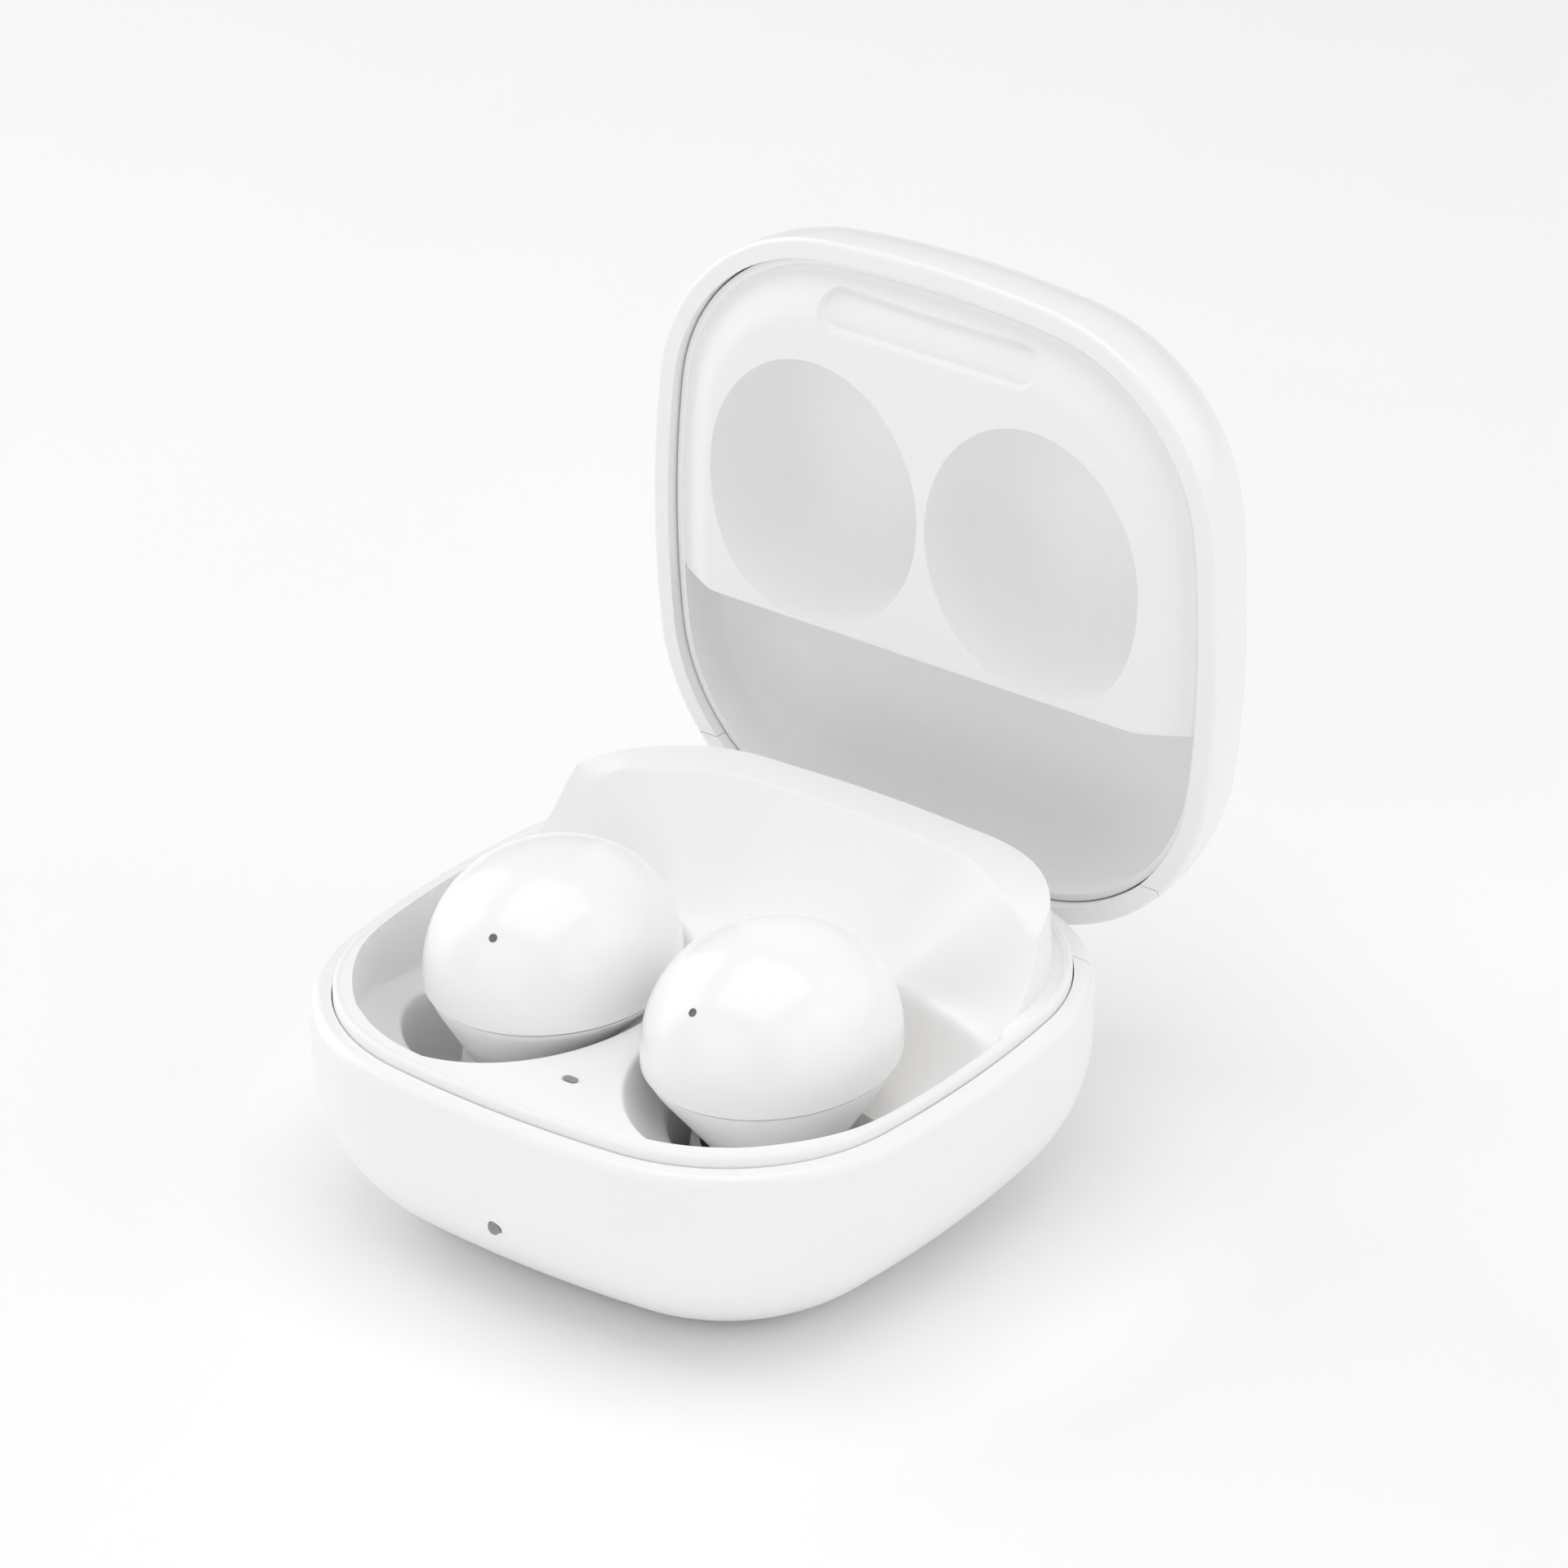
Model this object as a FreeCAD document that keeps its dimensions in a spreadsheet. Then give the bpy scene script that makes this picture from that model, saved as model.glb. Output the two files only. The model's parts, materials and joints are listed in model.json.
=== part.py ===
import FreeCAD, Part
import math
import os
import Sketcher

# Wireless earbuds case, modelled open: a squircle base with a tray and a raised rear hump,
# a lid hinged at the back, and two earbuds that stand in cradles on sprung charging pins.
# Frame: millimetres, +X right, -Y front (the status light side), +Z up, with the origin at
# the centre of the base's flat underside. The lid's pieces are drawn closed, then swung open.

V = FreeCAD.Vector
doc = FreeCAD.newDocument("earbuds_case")
dims = doc.addObject("Spreadsheet::Sheet", "dims")

DRIVING = [
    # outline of the case, seen from above
    ("case_half", 25.0),
    ("corner_radius", 16.4),
    ("side_radius", 90.0),
    ("shell_wall", 1.5),
    # base
    ("base_top", 17.0),
    ("belly_radius", 13.0),
    ("base_lip_radius", 0.85),
    ("tray_inset", 1.55),
    ("bezel_top", 17.9),
    ("bezel_round", 0.5),
    ("bowl_inset", 2.75),
    ("bowl_floor", 16.0),
    ("deck_thick", 1.1),
    ("skirt_bottom", 12.5),
    # hump over the battery
    ("hump_inset", 3.6),
    ("hump_top", 22.7),
    ("hump_round", 1.2),
    ("hump_crest_front", 17.4),
    ("hump_foot_front", 8.6),
    ("hump_shoulder", 20.6),
    # lid, drawn closed
    ("lid_bottom", 17.2),
    ("lid_top", 27.8),
    ("lid_round", 9.6),
    ("lid_lip_radius", 0.45),
    ("lid_roof", 1.3),
    ("liner_inset", 1.65),
    ("liner_rim", 18.1),
    ("liner_face", 16.4),
    ("liner_face_inset", 3.05),
    ("liner_face_round", 0.6),
    ("liner_plate_top", 18.9),
    ("swoop_depth", 5.7),
    ("rear_cavity_top", 24.8),
    ("rear_cavity_inset", 3.35),
    ("rear_cavity_round", 4.0),
    # hinge
    ("hinge_depth", 23.5),
    ("hinge_height", 13.9),
    ("barrel_radius", 1.2),
    ("pin_radius", 0.5),
    ("pin_gap", 0.03),
    ("barrel_half", 7.0),
    ("hinge_half", 12.0),
    ("hinge_gap", 0.3),
    ("arm_room_half", 7.3),
    ("knuckle_room_half", 12.3),
    ("knuckle_room_top", 15.3),
    ("hinge_room_front", 21.55),
    ("hinge_room_low", 12.2),
    ("cover_half", 20.5),
    ("cover_front", 18.4),
    ("cover_bottom", 12.25),
    ("cheek_top", 18.6),
    ("cover_gap", 0.06),
    ("leaf_screw_offset", 10.0),
    ("leaf_screw_depth", 23.8),
    ("leaf_screw_radius", 0.4),
    ("lid_swing", 90.0),
    # earbuds
    ("bud_offset", 9.7),
    ("bud_back", -5.4),
    ("bud_half_width", 8.6),
    ("bud_half_length", 10.35),
    ("dome_middle", 18.1),
    ("dome_height", 7.5),
    ("dome_seam", 16.6),
    ("dome_wall", 0.9),
    ("body_drop", 4.2),
    ("neck_offset", 10.2),
    ("neck_back", -6.4),
    ("tip_radius", 5.6),
    ("tip_bottom", 4.8),
    ("tip_top", 10.6),
    ("tip_round", 3.2),
    ("tip_wall", 0.6),
    ("neck_low", 7.6),
    ("neck_low_radius", 2.3),
    ("neck_high_radius", 4.4),
    ("neck_tall", 6.0),
    ("nozzle_radius", 1.6),
    ("mic_offset", 8.9),
    ("mic_back", -12.2),
    ("mic_radius", 0.35),
    # cradles in the tray
    ("dish_offset", 12.0),
    ("dish_back", -5.3),
    ("dish_half_width", 10.9),
    ("dish_half_length", 13.6),
    ("dish_middle", 16.3),
    ("dish_drop", 5.5),
    ("cradle_wall", 0.95),
    ("well_radius", 6.4),
    ("well_bottom", 4.2),
    # charging pins
    ("pogo_back", 3.0),
    ("pogo_spread", 2.0),
    ("pogo_radius", 0.45),
    ("pogo_tip", 13.8),
    ("contact_radius", 0.9),
    ("contact_gap", 0.1),
    ("barrel_low", 7.3),
    ("barrel_wall_radius", 0.8),
    ("barrel_bore_radius", 0.5),
    ("pin_stem_low", 9.4),
    ("spring_low", 7.75),
    ("spring_radius", 0.36),
    # port and status lights
    ("lamp_height", 8.05),
    ("lamp_front", -24.2),
    ("lamp_radius", 0.5),
    ("port_height", 8.2),
    ("port_width", 8.94),
    ("port_tall", 3.2),
    ("port_front", 15.9),
    ("port_deep", 7.2),
    ("tray_lamp_back", -15.4),
    ("tray_lamp_half_long", 0.6),
    ("tray_lamp_half_short", 0.35),
    # electronics in the base
    ("coil_radius", 13.2),
    ("coil_eye_radius", 7.2),
    ("coil_lift", 0.3),
    ("coil_thick", 0.5),
    ("sheet_radius", 13.6),
    ("sheet_thick", 0.3),
    ("board_half", 13.5),
    ("board_front", 9.0),
    ("board_depth", 10.2),
    ("board_low", 5.8),
    ("board_thick", 0.8),
    ("chip_tall", 0.9),
    ("battery_half", 12.0),
    ("battery_front", 15.5),
    ("battery_low", 10.3),
    ("battery_depth", 3.5),
    ("battery_tall", 8.2),
    ("battery_edge", 0.8),
    ("lead_half", 1.5),
    ("lead_front", 14.75),
    ("lead_thick", 0.35),
    ("sensor_offset", 5.5),
    ("sensor_low", 12.9),
    # closing magnets, in the base and the lid
    ("magnet_offset", 3.4),
    ("magnet_half", 2.6),
    ("magnet_front", -20.6),
    ("magnet_depth", 1.9),
    ("base_magnet_low", 12.6),
    # small clearance between fitted pieces
    ("fit", 0.05),
]
for row, (alias, value) in enumerate(DRIVING, start=1):
    dims.set("A%d" % row, alias)
    dims.set("B%d" % row, str(value))
    dims.setAlias("B%d" % row, alias)
doc.recompute()


def size(alias):
    return float(dims.get(alias))


SIDES = (("left", -1), ("right", 1))


# ---- small builders ---------------------------------------------------------------------

def bind(obj, **exprs):
    """Bind properties to the sheet; a dot in a property path is written as two underscores."""
    for prop, expr in exprs.items():
        obj.setExpression(prop.replace("__", "."), expr)
    return obj


def primitive(kind, name, x="0", y="0", z="0", **exprs):
    obj = doc.addObject("Part::" + kind, name)
    bind(obj, Placement__Base__x=x, Placement__Base__y=y, Placement__Base__z=z, **exprs)
    return obj


def block(name, x, y, z, size_x, size_y, size_z):
    """A box from its low corner; the six values are sheet expressions."""
    return primitive("Box", name, x, y, z, Length=size_x, Width=size_y, Height=size_z)


def mid_block(name, half_x, y, z, size_y, size_z, mid_x="0"):
    """A box centred across X."""
    return block(name, "%s - (%s)" % (mid_x, half_x), y, z, "2*(%s)" % half_x, size_y, size_z)


def tube_along_x(name, half_x, y, z, radius, mid_x="0"):
    rod = primitive("Cylinder", name, "%s - (%s)" % (mid_x, half_x), y, z,
                    Radius=radius, Height="2*(%s)" % half_x)
    rod.Placement.Rotation = FreeCAD.Rotation(V(0, 1, 0), 90)
    return rod


def ellipsoid(name, x, y, z, half_x, half_y, half_z):
    """Part::Ellipsoid's Radius1 is its vertical half, Radius2 its X half, Radius3 its Y half."""
    return primitive("Ellipsoid", name, x, y, z, Radius1=half_z, Radius2=half_x,
                     Radius3=half_y, Angle1="-90", Angle2="90", Angle3="360")


def boolean(kind, name, base, tool):
    obj = doc.addObject("Part::" + kind, name)
    obj.Base = base
    obj.Tool = tool
    return obj


def fuse(name, shapes):
    obj = doc.addObject("Part::MultiFuse", name)
    obj.Shapes = shapes
    return obj


def cut(name, base, *tools):
    tool = tools[0] if len(tools) == 1 else fuse(name + "_tools", list(tools))
    return boolean("Cut", name, base, tool)


def common(name, base, tool):
    return boolean("Common", name, base, tool)


def body_sketch(body, name, plane="XY_Plane"):
    origin_plane = [f for f in body.Origin.OriginFeatures if f.Role == plane][0]
    sketch = body.newObject("Sketcher::SketchObject", name)
    sketch.AttachmentSupport = [(origin_plane, "")]
    sketch.MapMode = "FlatFace"
    return sketch


def squircle(sketch, inset):
    """Four bowed sides and four corner arcs, tangent all round, inset from the case outline."""
    gap = eval_length(inset)
    side = size("side_radius") - gap
    corner = size("corner_radius") - gap
    far = size("case_half") - size("side_radius")
    reach = (far + math.sqrt(2 * (side - corner) ** 2 - far ** 2)) / 2
    lean = math.atan2(reach, reach - far)
    for quarter in range(4):
        turn = quarter * math.pi / 2
        centre = V(far * math.cos(turn), far * math.sin(turn), 0)
        circle = Part.Circle(centre, V(0, 0, 1), side)
        sketch.addGeometry(Part.ArcOfCircle(circle, turn - lean, turn + lean), False)
        diagonal = turn + math.pi / 4
        spot = V(math.cos(diagonal), math.sin(diagonal), 0) * reach * math.sqrt(2)
        circle = Part.Circle(spot, V(0, 0, 1), corner)
        start = turn + lean
        sketch.addGeometry(Part.ArcOfCircle(circle, start, turn + math.pi / 2 - lean), False)
    for arc in range(8):
        sketch.addConstraint(Sketcher.Constraint("Tangent", arc, 2, (arc + 1) % 8, 1))
    for arc in range(0, 8, 2):
        axis = -1 if arc % 4 == 0 else -2
        direction = "DistanceX" if arc % 4 == 0 else "DistanceY"
        sketch.addConstraint(Sketcher.Constraint("PointOnObject", arc, 3, axis))
        radius = sketch.addConstraint(Sketcher.Constraint("Radius", arc, side))
        sketch.setExpression("Constraints[%d]" % radius, "dims.side_radius - (%s)" % inset)
        if arc < 4:
            ends = (arc, 3, -1, 1)
        else:
            ends = (-1, 1, arc, 3)
        held = sketch.addConstraint(Sketcher.Constraint(direction, *ends, -far))
        sketch.setExpression("Constraints[%d]" % held, "dims.side_radius - dims.case_half")
    for arc in range(1, 8, 2):
        radius = sketch.addConstraint(Sketcher.Constraint("Radius", arc, corner))
        sketch.setExpression("Constraints[%d]" % radius, "dims.corner_radius - (%s)" % inset)


def eval_length(expr):
    """The value of a sheet expression such as 'dims.shell_wall + 0.4', in millimetres."""
    value = dims.evalExpression(expr)
    return float(getattr(value, "Value", value))


def edges_at(shape, height):
    """Names of the edges that lie at one height."""
    names = []
    for number, edge in enumerate(shape.Edges, start=1):
        box = edge.BoundBox
        if abs(box.ZMin - height) < 1e-4 and abs(box.ZMax - height) < 1e-4:
            names.append("Edge%d" % number)
    return names


def slab(name, inset, low, high, low_round=None, high_round=None):
    """A squircle pad between two heights with its bottom or top edge rounded."""
    body = doc.addObject("PartDesign::Body", name)
    sketch = body_sketch(body, name + "_outline")
    squircle(sketch, inset)
    bind(sketch, AttachmentOffset__Base__z=low)
    pad = body.newObject("PartDesign::Pad", name + "_pad")
    pad.Profile = sketch
    bind(pad, Length="(%s) - (%s)" % (high, low))
    doc.recompute()
    for label, radius, level in (("low", low_round, low), ("high", high_round, high)):
        if radius is None:
            continue
        last = body.Tip
        rounding = body.newObject("PartDesign::Fillet", "%s_%s_round" % (name, label))
        rounding.Base = (last, edges_at(last.Shape, eval_length(level)))
        bind(rounding, Radius=radius)
        doc.recompute()
    return body


def side_profile(name, points, half_width):
    """A YZ outline of straight runs, padded both ways across X."""
    body = doc.addObject("PartDesign::Body", name)
    sketch = body_sketch(body, name + "_outline", "YZ_Plane")
    count = len(points)
    for number, (y, z) in enumerate(points):
        after = points[(number + 1) % count]
        start = V(eval_length(y), eval_length(z), 0)
        finish = V(eval_length(after[0]), eval_length(after[1]), 0)
        sketch.addGeometry(Part.LineSegment(start, finish), False)
    for number in range(count):
        sketch.addConstraint(Sketcher.Constraint("Coincident", number, 2, (number + 1) % count, 1))
    for number, (y, z) in enumerate(points):
        for direction, expr in (("DistanceX", y), ("DistanceY", z)):
            value = eval_length(expr)
            ends = (-1, 1, number, 1) if value >= 0 else (number, 1, -1, 1)
            held = sketch.addConstraint(Sketcher.Constraint(direction, *ends, abs(value)))
            sign = "" if value >= 0 else "-"
            sketch.setExpression("Constraints[%d]" % held, "%s(%s)" % (sign, expr))
    pad = body.newObject("PartDesign::Pad", name + "_pad")
    pad.Profile = sketch
    bind(pad, Length="2*(%s)" % half_width)
    pad.Midplane = True
    doc.recompute()
    return body


def stadium(name, half_long, half_short, x, y, z, depth, along="y"):
    """A round-ended bar: its length lies along X and it runs along Y or Z for its depth."""
    reach = "(%s) - (%s)" % (half_long, half_short)
    ends = []
    for tag, sign in SIDES:
        end = primitive("Cylinder", "%s_%s_end" % (name, tag), "%s + (%d)*(%s)" % (x, sign, reach),
                        y, z, Radius=half_short, Height=depth)
        if along == "y":
            end.Placement.Rotation = FreeCAD.Rotation(V(1, 0, 0), -90)
        ends.append(end)
    if along == "y":
        middle = block(name + "_middle", "%s - (%s)" % (x, reach), y, "%s - (%s)" % (z, half_short),
                       "2*(%s)" % reach, depth, "2*(%s)" % half_short)
    else:
        middle = block(name + "_middle", "%s - (%s)" % (x, reach), "%s - (%s)" % (y, half_short), z,
                       "2*(%s)" % reach, "2*(%s)" % half_short, depth)
    return fuse(name, ends + [middle])


NODES = []


def node(obj, name):
    """Name a finished piece."""
    obj.Label = name
    NODES.append(obj)
    return obj


def opened(obj):
    """Swing a piece of the lid, drawn closed, back about the hinge axis."""
    axis_point = V(0, size("hinge_depth"), size("hinge_height"))
    swing = FreeCAD.Rotation(V(1, 0, 0), -size("lid_swing"))
    obj.Placement = FreeCAD.Placement(V(0, 0, 0), swing, axis_point)
    return obj


# ---- base shell -------------------------------------------------------------------------

shell_outside = slab("shell_outside", "0", "0", "dims.base_top", "dims.belly_radius",
                     "dims.base_lip_radius")
shell_inside = slab("shell_inside", "dims.shell_wall", "dims.shell_wall", "dims.base_top + 1",
                    "dims.belly_radius - dims.shell_wall")
cover_notch = mid_block("cover_notch", "dims.cover_half + dims.cover_gap",
                        "dims.cover_front - dims.cover_gap", "dims.cover_bottom - dims.cover_gap",
                        "10", "10")
arm_room = mid_block("arm_room", "dims.arm_room_half", "dims.hinge_room_front",
                     "dims.hinge_room_low", "10", "10")
knuckle_room = mid_block("knuckle_room", "dims.knuckle_room_half", "dims.hinge_room_front",
                         "dims.hinge_room_low", "10", "dims.knuckle_room_top - dims.hinge_room_low")
hinge_room = fuse("hinge_room", [arm_room, knuckle_room])
port_slot = stadium("port_slot", "dims.port_width/2 + 0.35", "dims.port_tall/2 + 0.35",
                    "0", "20", "dims.port_height", "6")
lamp_bore = primitive("Cylinder", "lamp_bore", "0", "dims.lamp_front - 1", "dims.lamp_height",
                      Radius="dims.lamp_radius + dims.fit", Height="4")
lamp_bore.Placement.Rotation = FreeCAD.Rotation(V(1, 0, 0), -90)
node(cut("base_shell", shell_outside, shell_inside, cover_notch, port_slot, lamp_bore), "base_shell")

cover_reach = mid_block("cover_reach", "dims.cover_half", "dims.cover_front", "dims.cover_bottom",
                        "10", "10")
cover_ring = cut("cover_ring", shell_outside, shell_inside)
cover_whole = common("cover_whole", cover_ring, cover_reach)
node(cut("hinge_cover", cover_whole, hinge_room), "hinge_cover")

front_lamp = primitive("Cylinder", "front_lamp", "0", "dims.lamp_front", "dims.lamp_height",
                       Radius="dims.lamp_radius", Height="2.9")
front_lamp.Placement.Rotation = FreeCAD.Rotation(V(1, 0, 0), -90)
lamp_foot = mid_block("lamp_foot", "0.9", "dims.lamp_front + 2.75", "dims.lamp_height - 0.9",
                      "0.8", "1.8")
node(fuse("front_status_lens", [front_lamp, lamp_foot]), "front_status_lens")


# ---- tray: bezel, deck, cradles and hump --------------------------------------------------

tray_slab = slab("tray_slab", "dims.tray_inset", "dims.skirt_bottom", "dims.bezel_top", None,
                 "dims.bezel_round")
bowl_cut = slab("bowl_cut", "dims.bowl_inset", "dims.bowl_floor", "dims.bezel_top + 1")
under_cut = slab("under_cut", "dims.tray_inset + dims.deck_thick", "dims.skirt_bottom - 1",
                 "dims.bowl_floor - dims.deck_thick")
deck = cut("deck", tray_slab, bowl_cut, under_cut)

HUMP_OUTLINE = [
    ("dims.hump_foot_front", "dims.bowl_floor - dims.deck_thick"),
    ("dims.hump_foot_front", "dims.bowl_floor"),
    ("dims.hump_foot_front + 2.6", "dims.bowl_floor + 1.3"),
    ("dims.hump_foot_front + 6.2", "dims.bowl_floor + 4.1"),
    ("dims.hump_crest_front", "dims.hump_top + 1"),
    ("dims.case_half", "dims.hump_top + 1"),
    ("dims.case_half", "dims.bowl_floor - dims.deck_thick"),
]
hump_block = slab("hump_block", "dims.hump_inset", "dims.skirt_bottom", "dims.hump_top", None,
                  "dims.hump_round")
hump = common("hump", hump_block, side_profile("hump_side", HUMP_OUTLINE, "dims.case_half"))
hollow_block = slab("hollow_block", "dims.hump_inset + dims.deck_thick", "dims.skirt_bottom - 1",
                    "dims.hump_top - dims.deck_thick", None, "dims.hump_round")
HOLLOW_OUTLINE = [
    ("dims.hump_foot_front + 1.6", "dims.skirt_bottom - 1"),
    ("dims.hump_foot_front + 1.6", "dims.bowl_floor - dims.deck_thick"),
    ("dims.hump_foot_front + 6.9", "dims.bowl_floor + 3.0"),
    ("dims.hump_crest_front + 0.9", "dims.hump_top"),
    ("dims.case_half", "dims.hump_top"),
    ("dims.case_half", "dims.skirt_bottom - 1"),
]
hump_hollow = common("hump_hollow", hollow_block,
                     side_profile("hollow_side", HOLLOW_OUTLINE, "dims.hump_shoulder - 0.8"))

cradle_skins = []
cradle_cuts = []
for side, sign in SIDES:
    dish_spot = ("%d*dims.dish_offset" % sign, "dims.dish_back", "dims.dish_middle")
    neck_spot = ("%d*dims.neck_offset" % sign, "dims.neck_back")
    skin = ellipsoid("dish_skin_" + side, *dish_spot, "dims.dish_half_width + dims.cradle_wall",
                     "dims.dish_half_length + dims.cradle_wall", "dims.dish_drop + dims.cradle_wall")
    below_deck = slab("below_deck_" + side, "dims.tray_inset + 0.5", "dims.well_bottom",
                      "dims.bowl_floor - dims.deck_thick/2")
    cradle_skins.append(common("dish_wall_" + side, skin, below_deck))
    cradle_skins.append(primitive("Cylinder", "well_wall_" + side, *neck_spot,
                                  "dims.well_bottom - dims.cradle_wall",
                                  Radius="dims.well_radius + dims.cradle_wall",
                                  Height="dims.dish_middle - dims.dish_drop - dims.well_bottom + 1.5"))
    dish = ellipsoid("dish_" + side, *dish_spot, "dims.dish_half_width", "dims.dish_half_length",
                     "dims.dish_drop")
    inside_bezel = slab("inside_bezel_" + side, "dims.bowl_inset", "dims.well_bottom",
                        "dims.bezel_top + 1")
    cradle_cuts.append(common("clipped_dish_" + side, dish, inside_bezel))
    cradle_cuts.append(primitive("Cylinder", "well_" + side, *neck_spot, "dims.well_bottom",
                                 Radius="dims.well_radius", Height="dims.dish_middle - dims.well_bottom"))
    for pin_tag, pin_sign in (("outer", 1), ("inner", -1)):
        pin_x = "%d*(dims.bud_offset + %d*dims.pogo_spread)" % (sign, pin_sign)
        cradle_cuts.append(primitive("Cylinder", "pin_bore_%s_%s" % (side, pin_tag), pin_x,
                                     "dims.pogo_back", "dims.dish_middle - dims.dish_drop - 2",
                                     Radius="dims.barrel_wall_radius + dims.fit", Height="5"))
lamp_slot = stadium("lamp_slot", "dims.tray_lamp_half_long + dims.fit",
                    "dims.tray_lamp_half_short + dims.fit", "0", "dims.tray_lamp_back",
                    "dims.bowl_floor - 3", "4", along="z")
tray_whole = fuse("tray_whole", [deck, hump] + cradle_skins)
node(cut("tray", tray_whole, *(cradle_cuts + [hump_hollow, lamp_slot, hinge_room])), "tray")

node(stadium("tray_lamp", "dims.tray_lamp_half_long", "dims.tray_lamp_half_short", "0",
             "dims.tray_lamp_back", "dims.bowl_floor - dims.deck_thick", "dims.deck_thick - dims.fit",
             along="z"), "tray_status_lens")


# ---- electronics inside the base ----------------------------------------------------------

coil_ring = primitive("Cylinder", "coil_ring", "0", "0", "dims.shell_wall + dims.coil_lift",
                      Radius="dims.coil_radius", Height="dims.coil_thick")
coil_eye = primitive("Cylinder", "coil_eye", "0", "0", "dims.shell_wall",
                     Radius="dims.coil_eye_radius", Height="2")
node(cut("charging_coil", coil_ring, coil_eye), "charging_coil")
node(primitive("Cylinder", "sheet", "0", "0", "dims.shell_wall + dims.coil_lift + dims.coil_thick",
               Radius="dims.sheet_radius", Height="dims.sheet_thick"), "ferrite_sheet")
node(mid_block("board", "dims.board_half", "dims.board_front", "dims.board_low", "dims.board_depth",
               "dims.board_thick"), "main_circuit_board")

# each chip: middle X, front Y, half width, depth
CHIPS = [
    ("-9", "10", "2.5", "5"),
    ("0", "10.4", "1.6", "3.2"),
    ("8.6", "10", "3", "3"),
    ("7.4", "14.2", "1.2", "1.6"),
]
chips = []
for number, (mid_x, front_y, half_x, depth) in enumerate(CHIPS):
    chips.append(mid_block("chip_%d" % number, half_x, front_y, "dims.board_low + dims.board_thick",
                           depth, "dims.chip_tall", mid_x))
node(fuse("chip_set", chips), "board_chips")

port_wall = stadium("port_wall", "dims.port_width/2", "dims.port_tall/2", "0", "dims.port_front",
                    "dims.port_height", "dims.port_deep")
port_mouth = stadium("port_mouth", "dims.port_width/2 - 0.3", "dims.port_tall/2 - 0.3", "0",
                     "dims.port_front + 0.6", "dims.port_height", "dims.port_deep")
node(cut("port_shell", port_wall, port_mouth), "usb_port_shell")
node(mid_block("port_tongue", "3.3", "dims.port_front + 0.6", "dims.port_height - 0.35",
               "dims.port_deep - 1.6", "0.7"), "usb_port_tongue")
gasket_ring = stadium("gasket_ring", "dims.port_width/2 + 0.3", "dims.port_tall/2 + 0.3", "0",
                      "22.0", "dims.port_height", "0.9")
gasket_hole = stadium("gasket_hole", "dims.port_width/2", "dims.port_tall/2", "0", "21",
                      "dims.port_height", "3")
node(cut("port_gasket", gasket_ring, gasket_hole), "usb_port_gasket")

battery = mid_block("battery_block", "dims.battery_half", "dims.battery_front", "dims.battery_low",
                    "dims.battery_depth", "dims.battery_tall")
battery_round = doc.addObject("Part::Fillet", "battery_round")
battery_round.Base = battery
doc.recompute()
battery_round.Edges = [(number, size("battery_edge"), size("battery_edge"))
                       for number, edge in enumerate(battery.Shape.Edges, start=1)
                       if edge.BoundBox.XLength > size("battery_half")]
node(battery_round, "battery")
node(mid_block("lead", "dims.lead_half", "dims.lead_front",
               "dims.board_low + dims.board_thick + dims.fit", "dims.lead_thick", "9"), "battery_lead")
node(mid_block("sensor", "0.8", "-19.6", "dims.sensor_low", "1.4", "0.6", "dims.sensor_offset"),
     "hall_sensor")
lamp_strip = mid_block("lamp_strip", "1.6", "-18.6", "13.6", "4.0", "0.3")
lamp_chip = mid_block("lamp_chip", "0.5", "dims.tray_lamp_back - 0.4", "13.9", "0.8", "0.6")
node(fuse("lamp_flex", [lamp_strip, lamp_chip]), "lamp_flex")

magnets = []
for side, sign in SIDES:
    magnets.append(mid_block("base_magnet_" + side, "dims.magnet_half", "dims.magnet_front",
                             "dims.base_magnet_low", "dims.magnet_depth", "1.9",
                             "%d*dims.magnet_offset" % sign))
sensor_room = mid_block("sensor_room", "1.1", "-19.8", "12", "1.8", "1.6", "dims.sensor_offset")
node(cut("base_magnets", fuse("base_magnet_pair", magnets), sensor_room), "base_closing_magnets")

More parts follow.
